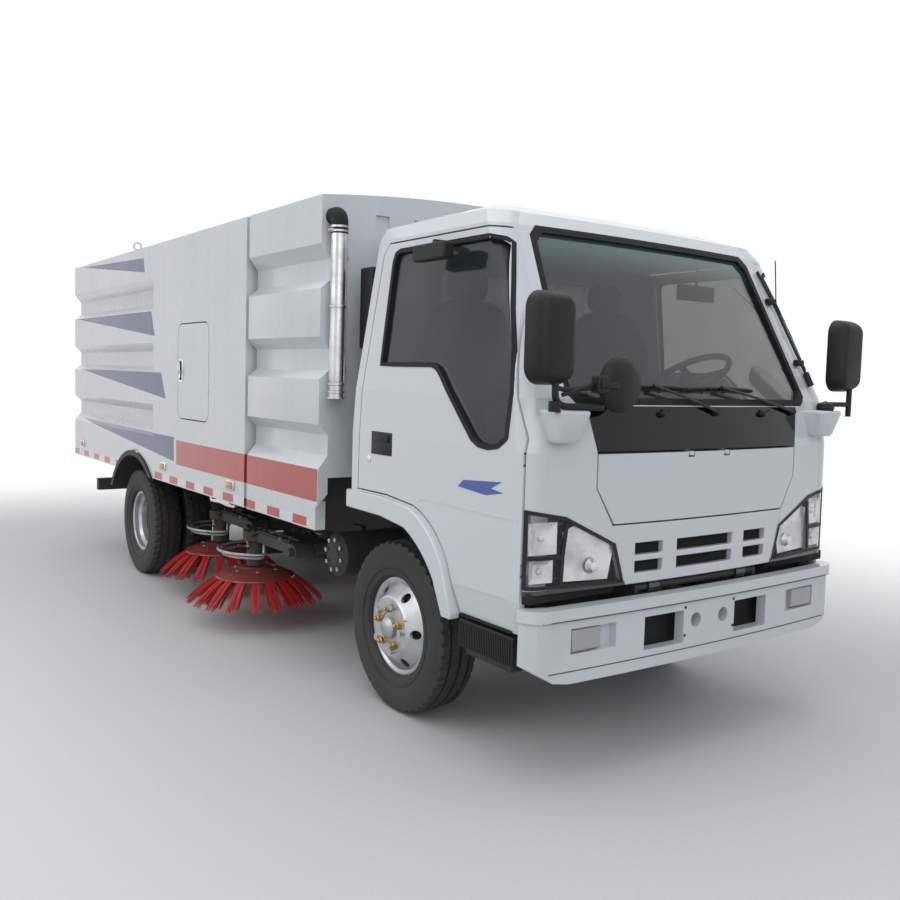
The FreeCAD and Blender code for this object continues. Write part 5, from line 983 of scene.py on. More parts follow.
# %% [markdown]
# ## Wheel nuts and hubs
#
# Each wheel is held by five nuts: a hexagon on a washer, with the stud's end standing out of it. One
# nut is modelled on the disc where a ray meets it, and the first repeater turns it about the axle.

# %% Hubs
for place, (side, axle, middles) in WHEELS.items():
    node = ("rims_" if len(middles) == 2 else "rim_") + place
    body = body_of(node)
    out = Vector((side, 0, 0))
    face, _ = hit((node,), (side * 2, axle + 0.078, WHEEL_RADIUS), (-side, 0, 0))
    print(place, "nut seat", round(face.x, 3))
    bm = bmesh.new()
    seat = Vector((face.x, axle + 0.085, WHEEL_RADIUS))
    add_lathe(bm, [(0.0, -0.002), (0.019, -0.002), (0.019, 0.003), (0.0165, 0.004), (0.0, 0.004)],
              seat, out, 18)
    add_lathe(bm, [(0.0, 0.004), (0.0155, 0.004), (0.0155, 0.017), (0.012, 0.020), (0.0, 0.020)],
              seat, out, 6)
    add_lathe(bm, [(0.0, 0.02), (0.0085, 0.02), (0.0085, 0.028), (0.004, 0.031), (0.0, 0.031)], seat, out, 10)
    ring("wheel_nuts_" + place, bm, 5, (0, axle, WHEEL_RADIUS), (1, 0, 0), "brass", body, start=0.3)
print("nuts done")

# %% [markdown]
# ## Brushes
#
# Each side brush is a domed steel disc with a sloped rim, and two rings of flat bristle bundles. A
# bundle is a fan of thin strands: together at the root, apart at the tip, and bent by the road.
# Modelling the strands, rather than a textured cone, is what makes the broken edge at the ground.

# %% Brushes
BRUSHES = {
    "front_right": (-0.740, FRONT_AXLE + 1.720), "front_left": (0.740, FRONT_AXLE + 1.720),
    "rear_right": (-0.620, FRONT_AXLE + 2.560), "rear_left": (0.620, FRONT_AXLE + 2.560),
}


def add_bundle(bm, centre, root, tip, root_half, tip_half, strands, rng):
    """A flat fan of strands from a root (radius, level) out to a tip (radius, level)."""
    for k in range(strands):
        share = (k + 0.5) / strands * 2 - 1
        spray = rng.uniform(-0.006, 0.006)
        reach = rng.uniform(-0.018, 0.0)
        sag = rng.uniform(-0.004, 0.004)
        path = []
        for step in range(6):
            t = step / 5
            radius = root[0] + (tip[0] + reach - root[0]) * (t ** 0.92)
            level = root[1] + (tip[1] - root[1]) * (t ** 1.25) + sag * t * (1 - t)
            across = share * (root_half + (tip_half - root_half) * t ** 1.5) + spray * t * t
            path.append(centre + Vector((radius, across, level)))
        add_tube(bm, path, [0.0045, 0.0045, 0.0042, 0.0040, 0.0034, 0.0014], 4, 0.8)


for place, (x, y) in BRUSHES.items():
    body = body_of("brush_" + place)
    centre = Vector((x, y, 0))
    bm = bmesh.new()
    add_lathe(bm, [(0.0, 0.352), (0.034, 0.352), (0.036, 0.334), (0.085, 0.331), (0.095, 0.322),
                   (0.165, 0.312), (0.176, 0.306), (0.232, 0.282), (0.235, 0.276), (0.232, 0.270),
                   (0.0, 0.285)], centre, (0, 0, 1), 64)
    finished("brush_disc_" + place, bm, "brush_red_steel", body, "brush_red", replaces=("brush_" + place,))
    bm = bmesh.new()
    add_lathe(bm, [(0.0, 0.0), (0.011, 0.0), (0.011, 0.008), (0.006, 0.010), (0.0, 0.010)],
              centre + Vector((0.130, 0, 0.314)), (0, 0, 1), 6)
    ring("brush_bolts_" + place, bm, 6, centre, (0, 0, 1), "galvanised", body, start=0.2)
    for layer, (root, tip, count) in enumerate((
            ((0.200, 0.292), (0.414, 0.1415), 19), ((0.165, 0.286), (0.345, 0.1415), 18))):
        bm = bmesh.new()
        add_bundle(bm, centre, root, tip, 0.021, 0.034, 15, random.Random(5 + layer))
        ring(f"bristles_{place}_{layer}", bm, count, centre, (0, 0, 1), "brush_red", body,
             twist=0.035, spread=0.03, seed=3 + layer, start=0.1 * layer)
print("brushes", list(BRUSHES))

# %% [markdown]
# ## Windscreen and wipers
#
# The glass gets a green band along its top. Each wiper is a bent arm that rises from its pivot and a
# blade that follows the curved glass: the blade's points are found by casting rays at the screen.

# %% Glass and wipers
frame["nodes"]["cab_glass"].data.materials[0] = finishes["sun_band"]


def on_screen(x, z, proud=0.0):
    """A point on the windscreen, lifted off the glass, and the glass's normal."""
    place, normal = front_hit(x, z, "cab_glass")
    return place + normal * proud, normal


bm = bmesh.new()
for pivot_x, pivot_z, middle_x, low_x, high_x in (
        (0.047, 1.384, -0.30, -0.53, -0.07), (0.600, 1.384, 0.10, -0.13, 0.33)):
    base, _ = front_hit(pivot_x, pivot_z, "garnish_panel", "cab_shell")
    add_lathe(bm, [(0.0, -0.004), (0.017, -0.004), (0.018, 0.010), (0.013, 0.020), (0.0, 0.022)],
              base, (0, -1, 0.1), 20)
    end, lift = on_screen(middle_x, 1.472, 0.030)
    knee = base.lerp(end, 0.42) + Vector((0, -0.020, 0.004))
    add_tube(bm, bend([base + Vector((0, -0.015, 0)), knee, end], 0.12), [0.010] * 2 + [0.008] * 6 + [0.006],
             8, 0.55)
    spine = [on_screen(low_x + (high_x - low_x) * k / 12, 1.468 + 0.006 * math.sin(math.pi * k / 12), 0.016)
             for k in range(13)]
    add_tube(bm, [p for p, _ in spine], [0.003] + [0.005] * 11 + [0.003], 6)
    rubber_edge = [
        on_screen(low_x + (high_x - low_x) * k / 12, 1.464 + 0.006 * math.sin(math.pi * k / 12), 0.0015)
        for k in range(13)]
    strip(bm, [p for p, _ in rubber_edge], [n for _, n in rubber_edge], 0.004, 0.013)
    for offset in (-0.07, 0.0, 0.07):
        claw, lift = on_screen(middle_x + offset, 1.470, 0.004)
        add_tube(bm, [claw, claw + lift * 0.020], 0.005, 8)
for knob_x in (-0.273, 0.362):
    place, lift = front_hit(knob_x, 1.374, "garnish_panel")
    add_lathe(bm, [(0.0, -0.002), (0.014, -0.002), (0.013, 0.012), (0.008, 0.022), (0.0, 0.024)],
              place, lift, 16)
    add_tube(bm, [place + lift * 0.014, place + lift * 0.02 + Vector((0.028, 0, 0.018))], 0.0055, 8)
finished("wipers", bm, "black_plastic", "cab")
print("wipers done")

# %% [markdown]
# ## Door window seals
#
# A rubber seal frames each door window. It is one closed strip along the window's own outline, grown
# by the seal's width and cast onto the door's skin so that it leans with the glass.

# %% Door seals
WINDOW = [  # distance behind the front axle, level
    (0.0456, 1.549), (-0.3397, 1.549), (-0.3772, 1.537), (-0.4107, 1.510), (-0.649, 1.272), (-0.690, 1.253),
    (-0.7453, 1.247), (-0.800, 1.256), (-0.8436, 1.285), (-0.8619, 1.495), (-0.6642, 1.998),
    (-0.6439, 2.020), (-0.6084, 2.028), (0.0101, 2.028), (0.0385, 2.018), (0.0477, 1.987)]


def widened(outline, by):
    """An outline grown outwards by moving each corner along its two edges' mean normal."""
    grown_line = []
    for k, (a, b) in enumerate(outline):
        before, after = Vector(outline[k - 1]), Vector(outline[(k + 1) % len(outline)])
        here = Vector((a, b))
        first, second = (here - before).normalized(), (after - here).normalized()
        out = Vector((first.y + second.y, -first.x - second.x)).normalized()
        reach = by / max(0.5, out.dot(Vector((first.y, -first.x))))
        grown_line.append(tuple(here - out * reach))
    return grown_line


for side, name in ((-1, "right"), (1, "left")):
    bm = bmesh.new()
    outline = widened(WINDOW, 0.006)
    path, lifts = traced(outline + outline[:1], 4, lambda behind, z: side_hit(
        side, FRONT_AXLE + behind, z, "door_" + name, needed=False))
    strip(bm, path[:-1], lifts[:-1], 0.020, 0.027, sink=0.024, closed=True)
    print(name, "window seal", len(path), "of", 4 * len(WINDOW) + 1)
    finished("door_seal_" + name, bm, "rubber_black", "door_" + name)
print("door seals done")

# %% [markdown]
# ## Mirrors
#
# The mirrors are soft-cornered shells on bent tubes that stand in white cups at the cab's front
# corners. On the driver's far side a round mirror looks down at the bumper.

# %% Mirror shapes
def soft_box(bm, low, high, radius, segments=5):
    """A box whose edges are all rounded by a large radius."""
    made = add_box(bm, low, high)
    edges = list(dict.fromkeys(e for v in made for e in v.link_edges))
    bmesh.ops.bevel(bm, geom=edges, offset=radius, segments=segments, affect="EDGES", profile=0.5)


def pillow(bm, low, high, corner, dome, steps=7, around=7):
    """A mirror shell: a rounded rectangle that is flat at the back (+Y) and domed to the front."""
    low, high = Vector(low), Vector(high)
    rings = []
    for k in range(steps + 1):
        turn = math.pi / 2 * k / steps
        inset = dome * (1 - math.cos(turn))
        y = high.y + (low.y - high.y) * math.sin(turn)
        ring_verts = []
        for quarter, (ux, uz) in enumerate(((1, 1), (-1, 1), (-1, -1), (1, -1))):
            cx = (high.x if ux > 0 else low.x) - ux * corner
            cz = (high.z if uz > 0 else low.z) - uz * corner
            for j in range(around + 1):
                angle = math.pi / 2 * (quarter + j / around)
                ring_verts.append(bm.verts.new((cx + math.cos(angle) * (corner - inset), y,
                                                cz + math.sin(angle) * (corner - inset))))
        rings.append(ring_verts)
    for first, second in zip(rings, rings[1:]):
        for k in range(len(first)):
            n = (k + 1) % len(first)
            bm.faces.new((first[k], first[n], second[n], second[k]))
    bm.faces.new(rings[0][::-1])
    bm.faces.new(rings[-1])


print("mirror shapes ready")

# %% [markdown]
# ### Shells, cups and faces
#
# The black shells and their tubes are one piece, the white cups another and the mirror faces a
# third, since each has its own finish. The tubes' corners are bent, as a pipe bender leaves them.

# %% Mirrors
bm = bmesh.new()
pillow(bm, at(-0.990, -1.082, 1.478), at(-0.796, -1.004, 1.802), 0.062, 0.046)
pillow(bm, at(0.796, -1.082, 1.478), at(0.990, -1.004, 1.802), 0.062, 0.046)
add_tube(bm, bend([at(-0.875, -1.04, 1.50), at(-0.875, -1.04, 1.405), at(-0.655, -1.052, 1.402)], 0.06),
         0.0125, 12)
add_tube(bm, bend([at(-0.875, -1.04, 1.47), at(-0.82, -1.035, 1.462), at(-0.66, -1.045, 1.476)], 0.03),
         0.009, 10)
add_tube(bm, bend([at(-0.84, -1.04, 1.445), at(-0.66, -1.045, 1.494)], 0.03), 0.008, 10)
add_lathe(bm, [(0.0, -0.022), (0.094, -0.022), (0.101, -0.014), (0.102, -0.004), (0.094, 0.010),
               (0.070, 0.022), (0.0, 0.030)], at(-0.566, -1.052, 1.484), (0, -1, 0), 48)
soft_box(bm, at(-0.700, -1.074, 1.452), at(-0.640, -1.030, 1.516), 0.010, 3)
soft_box(bm, at(-0.690, -1.082, 1.470), at(-0.600, -1.066, 1.498), 0.006, 2)
add_tube(bm, bend([at(0.935, -1.04, 1.50), at(0.935, -1.04, 1.365)], 0.03), 0.0125, 12)
add_tube(bm, [at(0.935, -1.04, 1.42), at(0.78, -1.02, 1.42)], 0.011, 12)
add_lathe(bm, [(0.0, -0.02), (0.034, -0.018), (0.040, 0.0), (0.034, 0.018), (0.0, 0.030)],
          at(0.79, -1.015, 1.405), (0, 0, 1), 24)
add_lathe(bm, [(0.0, -0.02), (0.022, -0.018), (0.022, 0.018), (0.0, 0.02)], at(-0.875, -1.04, 1.405),
          (0, 0, 1), 20)
finished("mirror_shells", bm, "black_plastic", "cab", replaces=("mirrors",))

bm = bmesh.new()
for side in (-1, 1):
    x = 0.785 * side
    top = [at(x + u * 0.078, -1.062 + w * 0.135, 1.392) for u, w in ((-1, 0), (1, 0), (1, 1), (-1, 1))]
    low = [at(x + u * 0.052, -1.030 + w * 0.100, 1.274) for u, w in ((-1, 0), (1, 0), (1, 1), (-1, 1))]
    verts = [bm.verts.new(p) for p in top + low]
    bm.faces.new(verts[:4])
    bm.faces.new(verts[4:][::-1])
    for k in range(4):
        bm.faces.new((verts[k], verts[k + 4], verts[(k + 1) % 4 + 4], verts[(k + 1) % 4]))
bmesh.ops.bevel(bm, geom=list(bm.edges), offset=0.016, segments=4, affect="EDGES", profile=0.5)
finished("mirror_cups", bm, "white_paint", "cab")

bm = bmesh.new()
for low_x, high_x in ((-0.978, -0.808), (0.808, 0.978)):
    pillow(bm, at(low_x, -1.0075, 1.490), at(high_x, -1.0015, 1.790), 0.052, 0.001, 1)
finished("mirror_faces", bm, "chrome", "cab")
print("mirrors done")

# %% [markdown]
# ## Rod and aerial
#
# A black rod runs down the left windscreen pillar on two clips, with a thin aerial at its top.

# %% Pillar rod
bm = bmesh.new()
add_tube(bm, [at(0.735, -0.655, 2.035), at(0.752, -0.755, 1.860), at(0.790, -0.905, 1.560)], 0.007, 8)
add_tube(bm, [at(0.790, -0.905, 1.560), at(0.802, -0.930, 1.500)], 0.015, 12)
for x, behind, z in ((0.748, -0.735, 1.890), (0.783, -0.880, 1.605)):
    soft_box(bm, at(x - 0.035, behind - 0.014, z - 0.014), at(x + 0.012, behind + 0.016, z + 0.014), 0.005, 2)
add_tube(bm, [at(0.752, -0.755, 1.885), at(0.744, -0.745, 2.080)], 0.0028, 6)
add_tube(bm, bend([at(0.790, -0.905, 1.575), at(0.770, -0.830, 1.700), at(0.752, -0.755, 1.875)], 0.1),
         0.0035, 6)
finished("pillar_rod", bm, "black_plastic", "cab")
print("pillar rod done")

# %% [markdown]
# ## Headlamps
#
# A headlamp is a clear shell over a black tray. The shell is the CAD lamp's own outer skin, so it keeps
# the cab's curve. The tray is the same skin pushed back, and the reflectors stand between the two.

# %% Lamp skins
def lamp_skin(bm, side, back, shrink):
    """The outward faces of one CAD headlamp, moved back and shrunk about the lamp's middle."""
    source = bmesh.new()
    source.from_mesh(frame["nodes"]["headlamps"].data)
    bmesh.ops.remove_doubles(source, verts=source.verts, dist=1e-5)
    source.faces.ensure_lookup_table()
    middle = Vector((0.70 * side, 0, 0.87))
    seen = {}
    for face in source.faces:
        centre = face.calc_center_median()
        outward = face.normal.y < -0.25 or (face.normal.x * side > 0.5 and abs(centre.x) > 0.85)
        if centre.x * side < 0 or not outward:
            continue
        corners = []
        for v in face.verts:
            if v.index not in seen:
                p = v.co.copy()
                p.x = middle.x + (p.x - middle.x) * shrink - side * back * 0.4
                p.z = middle.z + (p.z - middle.z) * shrink
                p.y += back
                seen[v.index] = bm.verts.new(p)
            corners.append(seen[v.index])
        bm.faces.new(corners)
    source.free()


print("lamp skins ready")

# %% [markdown]
# ### Lens, reflectors and bezel
#
# Behind each lens are a wide fan-shaped main beam next to the grille, and two square bowls at the
# outer end. Their corners are found on the lens, so they stay behind it wherever the cab curves.
# Black bars divide the lamps and a bezel follows the lens's own outline.

# %% Headlamps
for side, name in ((-1, "right"), (1, "left")):
    bm = bmesh.new()
    lamp_skin(bm, side, 0.042, 0.985)
    finished("lamp_tray_" + name, bm, "black_gloss", "cab", "black_gloss")
    bm = bmesh.new()
    lamp_skin(bm, side, 0.0, 1.0)
    finished("lamp_lens_" + name, bm, "lamp_glass", "cab", "lamp_glass",
             replaces=("headlamps",) if side > 0 else ())
    bm = bmesh.new()

    def on_lamp(x, z, back=0.020):
        """A point behind the lens, which stops at the lamp's own edge."""
        while not front_hit(x * side, z, "headlamps", needed=False):
            x, z = x + (0.70 - x) * 0.04, z + (0.86 - z) * 0.04
        place, normal = front_hit(x * side, z, "headlamps")
        return place + Vector((0, back, 0)), normal

    # The main beam: a fan of facets around a round bulb cap.
    hub, _ = on_lamp(0.605, 0.810, 0.020)
    fan = [on_lamp(0.530, 0.756, 0.012)[0]]
    for k in range(15):
        angle = math.radians(-3 + 150 * k / 14)
        fan.append(on_lamp(min(0.560 + math.cos(angle) * 0.30, 0.748),
                           min(0.775 + math.sin(angle) * 0.22, 0.965), 0.012)[0])
    middle_vert = bm.verts.new(hub + Vector((0, 0.010, 0)))
    ring_verts = [bm.verts.new(p) for p in fan]
    for k in range(len(ring_verts)):
        bm.faces.new((middle_vert, ring_verts[k], ring_verts[(k + 1) % len(ring_verts)]))
    add_lathe(bm, [(0.0, 0.024), (0.018, 0.020), (0.024, 0.006), (0.030, 0.0)], hub, (0, -1, 0), 24)
    # The two square bowls.
    for x0, x1, z0, z1 in ((0.775, 0.895, 0.868, 0.985), (0.790, 0.890, 0.765, 0.850)):
        corners = [on_lamp(x, z, 0.010)[0] for x, z in ((x0, z0), (x1, z0), (x1, z1), (x0, z1))]
        middle = sum(corners, Vector()) / 4 + Vector((0, 0.016, 0))
        inner = [middle + (p - middle) * 0.55 + Vector((0, 0.004, 0)) for p in corners]
        outer_verts = [bm.verts.new(p) for p in corners]
        inner_verts = [bm.verts.new(p) for p in inner]
        bm.faces.new(inner_verts)
        for k in range(4):
            n = (k + 1) % 4
            bm.faces.new((outer_verts[k], outer_verts[n], inner_verts[n], inner_verts[k]))
        add_lathe(bm, [(0.0, 0.016), (0.012, 0.012), (0.015, 0.0)], middle, (0, -1, 0), 16)
    finished("lamp_reflectors_" + name, bm, "reflector", "cab", "lamp_glass", smooth=25)
    # Black dividing bars between the lamps, and the bezel round the whole.
    bm = bmesh.new()
    for points in ([(0.762, 0.750), (0.757, 0.860), (0.742, 0.975)], [(0.765, 0.858), (0.900, 0.860)]):
        path, lifts = traced(points, 4, lambda x, z: on_lamp(x, z, 0.002))
        strip(bm, path, lifts, 0.016, 0.006)
    rims = edge_loops("headlamps", lambda normal, place: normal.y < -0.25 and place.x * side > 0)
    path, lifts = rims[0]
    strip(bm, path, lifts, 0.014, 0.004, shift=-0.006, sink=0.001, closed=True)
    finished("lamp_bezel_" + name, bm, "black_plastic", "cab", "black_plastic")
print("headlamps done")

# %% [markdown]
# ## Grille, bumper and lamps
#
# Behind the grille's holes is a radiator with upright fins, its flat near-black partly its own colour and
# partly painted shade, so the holes read as dark and deep.
# The bumper gets two grey lines as painted shade of its moulded grooves, its lamp lenses and four small
# screws.

# %% Front end
# A radiator of upright fins; its flat near-black is partly painted shade that makes the grille's holes look
# deep.
bm = bmesh.new()
columns = []
for k in range(150):
    x = -0.470 + 0.940 * k / 149
    place, _ = front_hit(x, 0.752, "grille_panel", "cab_shell")
    y = place.y + (0.024 if k % 2 else 0.031)
    columns.append([bm.verts.new((x, y, z)) for z in (0.738, 0.952)])
for first, second in zip(columns, columns[1:]):
    bm.faces.new((first[0], second[0], second[1], first[1]))
finished("radiator", bm, "dark_inside", "cab", "black_plastic", smooth=5)
# Painted shade: near-black sheets behind the bumper's openings and in the gap above it.
bm = bmesh.new()
add_box(bm, at(-0.46, -0.950, 0.450), at(0.46, -0.944, 0.664))
for low_x, high_x in ((-0.905, -0.47), (0.47, 0.905)):
    add_box(bm, at(low_x, -0.965, 0.692), at(high_x, -0.900, 0.736), 0.006)
finished("bumper_backing", bm, "dark_inside", "chassis", "black_plastic")

# Painted shade: thin grey strips stand for the shadow in the bumper's two moulded grooves.
bm = bmesh.new()
for level in (0.636, 0.446):
    path, lifts = traced([(-0.88, level), (0.88, level)], 48,
                         lambda x, z: front_hit(x, z, "front_bumper", needed=False))
    strip(bm, path, lifts, 0.0045, 0.0005)
finished("bumper_grooves", bm, "interior_grey", "chassis", "white_paint")

bm = bmesh.new()
for x, z in ((-0.150, 0.612), (0.150, 0.612), (-0.150, 0.500), (0.150, 0.500)):
    place, normal = front_hit(x, z, "front_bumper")
    add_lathe(bm, [(0.0, 0.0), (0.006, 0.0), (0.006, 0.002), (0.003, 0.003), (0.0, 0.003)], place, normal, 12)
finished("plate_screws", bm, "black_plastic", "chassis", "black_plastic")

for node, finish in (("bumper_lamps", "lamp_white"), ("tail_lamps", "lamp_red")):
    softened(node, 0.004, finish=finish)
print("front end done")

# %% [markdown]
# ## Doors and cab sides
#
# Each door has a pressed crease that follows the wheel arch, a lower ridge, a handle in its cup with
# a key cylinder under it, and a plain blue flash. All are laid on the skin where rays find it, so
# they lean with the door. The steps get a toothed tread, one row of teeth along each edge.

# %% Doors and steps
for side, name in ((-1, "right"), (1, "left")):
    door = "door_" + name
    bm = bmesh.new()
    place, normal = side_hit(side, FRONT_AXLE + 0.099, 1.128, door, "cab_shell")
    add_lathe(bm, [(0.0, 0.0), (0.014, 0.0), (0.014, 0.004), (0.009, 0.006), (0.0, 0.006)], place, normal, 24)
    finished("door_lock_" + name, bm, "chrome", door, "black_plastic")
    bm = bmesh.new()
    skin = side_hit(side, FRONT_AXLE + 0.120, 1.200, door)[0].x
    ends = sorted((skin - side * 0.004, skin + side * 0.0022))
    soft_box(bm, at(ends[0], -0.084, 1.150), at(ends[1], 0.084, 1.250), 0.0025, 2)
    ends = sorted((skin + side * 0.001, skin + side * 0.0085))
    soft_box(bm, at(ends[0], -0.062, 1.206), at(ends[1], 0.068, 1.236), 0.0035, 2)
    finished("door_handle_cup_" + name, bm, "black_plastic", door, "black_plastic")
    bm = bmesh.new()
    flash = ((-0.565, 1.078), (-0.600, 1.106), (-0.835, 1.122), (-0.770, 1.092), (-0.845, 1.082),
             (-0.740, 1.064))
    corners = [side_hit(side, FRONT_AXLE + behind, z, door) for behind, z in flash]
    lift = Vector((side * 0.0008, 0, 0))
    add_prism(bm, [p - lift * 0.3 for p, _ in corners], lift * 1.3)
    finished("door_flash_" + name, bm, "stripe_blue", door, "white_paint")
    bm = bmesh.new()
    for points in (
        [(-0.280, 0.985), (-0.330, 1.003), (-0.560, 0.999), (-0.760, 0.997), (-0.920, 0.995)],
        [(-0.560, 0.700), (-0.740, 0.704), (-0.920, 0.712)],
    ):
        path, lifts = traced(points, 3, lambda behind, z: side_hit(side, FRONT_AXLE + behind, z, door))
        strip(bm, [p - n * 0.001 for p, n in zip(path, lifts)], lifts, 0.010, 0.003)
    finished("door_crease_" + name, bm, "white_paint", door, "white_paint")
    bm = bmesh.new()
    first = at(0.924 * side, -0.905, 0.580)
    add_prism(bm, [first, first + Vector((0, 0.009, 0)), first + Vector((0, 0.0045, 0.010))],
              (-0.012 * side, 0, 0))
    row("step_teeth_top_" + name, bm, 30, (0, 0.0104, 0), "black_plastic", "cab")
    bm = bmesh.new()
    first = at(0.926 * side, -0.905, 0.462)
    add_box(bm, first - Vector((0.004, 0, 0)), first + Vector((0.004, 0.005, 0.095)))
    row("step_ribs_" + name, bm, 30, (0, 0.0104, 0), "black_plastic", "cab")
print("doors done")

# %% [markdown]
# ## Wheels: hubs, valves and drums
#
# The hub bore is deep and dark with a small bright cap in it. A valve reaches out through a hand
# hole, and a black drum closes the view behind the disc.

# %% Hub parts
for place, (side, axle, middles) in WHEELS.items():
    twin = len(middles) == 2
    node = ("rims_" if twin else "rim_") + place
    body = body_of(node)
    face, _ = hit((node,), (side * 2, axle + 0.078, WHEEL_RADIUS), (-side, 0, 0))
    out = Vector((side, 0, 0))
    hub = Vector((face.x, axle, WHEEL_RADIUS))
    bm = bmesh.new()
    add_lathe(bm, [(0.0, -0.004), (0.046, -0.006), (0.048, 0.012), (0.040, 0.022), (0.022, 0.030),
                   (0.0, 0.032)], hub, out, 40)
    finished("hub_cap_" + place, bm, "wheel_silver" if not twin else "axle_iron", body, "wheel_silver")
    bm = bmesh.new()
    valve = Vector((face.x - side * 0.02, axle - 0.112, WHEEL_RADIUS + 0.050))
    add_tube(bm, [valve, valve + Vector((side * 0.030, -0.022, 0.010)),
                  valve + Vector((side * 0.045, -0.034, 0.014))], [0.0045, 0.0045, 0.0035], 8)
    finished("valve_" + place, bm, "brass", body, "wheel_silver")
    bm = bmesh.new()
    drum_start = -0.150 if twin else -0.060
    add_lathe(bm, [(0.0, drum_start - 0.02), (0.150, drum_start - 0.02), (0.158, drum_start),
                   (0.158, drum_start + 0.012), (0.060, drum_start + 0.014), (0.0, drum_start + 0.014)],
              hub, out, 48)
    finished("brake_drum_" + place, bm, "axle_iron", body, "axle_iron")
print("hubs done")

# %% [markdown]
# ## Sweeping gear
#
# Each brush hangs from its arm under a hydraulic motor. Steel pipes run along the arm to brass
# unions on the motor, and a double galvanised hoop guards the disc.

# %% Brush arms
for place, (x, y) in BRUSHES.items():
    side = 1 if x > 0 else -1
    arm = body_of("brush_arm_" + place)
    bm = bmesh.new()
    for radius, z in ((0.205, 0.412), (0.235, 0.436)):
        path = [Vector((x + side * radius * math.cos(t) * 0.9, y + 0.02 + radius * math.sin(t), z))
                for t in (math.radians(-80 + 215 * k / 24) for k in range(25))]
        path = [Vector((x, y - 0.12, 0.5))] + path + [Vector((x, y + 0.05, 0.47))]
        add_tube(bm, bend(path, 0.02, 2), 0.0085, 8)
    finished("hoop_" + place, bm, "galvanised", arm, "galvanised")
    bm = bmesh.new()
    for offset in (-0.030, 0.030):
        start = Vector((x + offset, y - 0.52, 0.560))
        add_tube(bm, bend([start, Vector((x + offset, y - 0.10, 0.560)),
                           Vector((x + offset * 1.9, y - 0.03, 0.500)),
                           Vector((x + offset * 1.9, y - 0.005, 0.440))], 0.05), 0.0075, 8)
    finished("pipes_" + place, bm, "black_plastic", arm, "black_plastic")
    bm = bmesh.new()
    for offset in (-0.057, 0.057):
        for z in (0.452, 0.475):
            add_lathe(bm, [(0.0, 0.0), (0.012, 0.0), (0.012, 0.016), (0.0, 0.016)],
                      Vector((x + offset, y - 0.018, z)), (0, 0, 1), 6)
    for offset in (-0.030, 0.030):
        add_lathe(bm, [(0.0, 0.0), (0.011, 0.0), (0.011, 0.03), (0.0, 0.03)],
                  Vector((x + offset, y - 0.42, 0.560)), (0, 1, 0), 6)
    finished("unions_" + place, bm, "brass", arm, "galvanised")
    bm = bmesh.new()
    add_lathe(bm, [(0.0, 0.0), (0.009, 0.0), (0.009, 0.006), (0.005, 0.008), (0.0, 0.008)],
              Vector((x + 0.055, y, 0.5455)), (0, 0, 1), 6)
    ring("motor_bolts_" + place, bm, 4, (x, y, 0), (0, 0, 1), "galvanised", arm, start=0.78)
print("brush arms done")

# %% [markdown]
# ## Pipes under the skirt
#
# Six pipes run back under the right skirt in black clamps, past a valve block with brass fittings.

# %% Pipes and valves
bm = bmesh.new()
for k in range(6):
    x, z = -0.850 + 0.034 * k, 0.722 - 0.012 * (k % 2)
    add_tube(bm, bend([(x, -0.520, z), (x, 0.310, z), (x + 0.030, 0.380, z - 0.010),
                       (x + 0.030, 0.880, z - 0.010)], 0.05), 0.0085, 8)
finished("body_pipes", bm, "frame_black", "chassis", "frame_black")
bm = bmesh.new()
for y in (-0.460, -0.160, 0.140, 0.560, 0.800):
    add_box(bm, (-0.875, y, 0.698), (-0.640, y + 0.030, 0.736), 0.003)
add_box(bm, (-0.800, -0.075, 0.672), (-0.660, 0.075, 0.742), 0.006)
finished("pipe_clamps", bm, "black_plastic", "chassis", "frame_black")
bm = bmesh.new()
add_lathe(bm, [(0.0, 0.0), (0.013, 0.0), (0.013, 0.020), (0.009, 0.022), (0.009, 0.034), (0.0, 0.034)],
          (-0.800, -0.050, 0.706), (-1, 0, 0), 6)
row("valve_fittings", bm, 4, (0, 0.034, 0), "brass", "chassis")
print("pipes done")

# %% [markdown]
# ## Body fittings
#
# Amber marker lamps stand in chrome frames along the skirt. Each hatch has a paddle latch on a plate with a
# flat near-black patch, painted shade of its dish, and two knuckles that are centred on its pin, so that they
# turn on the spot.

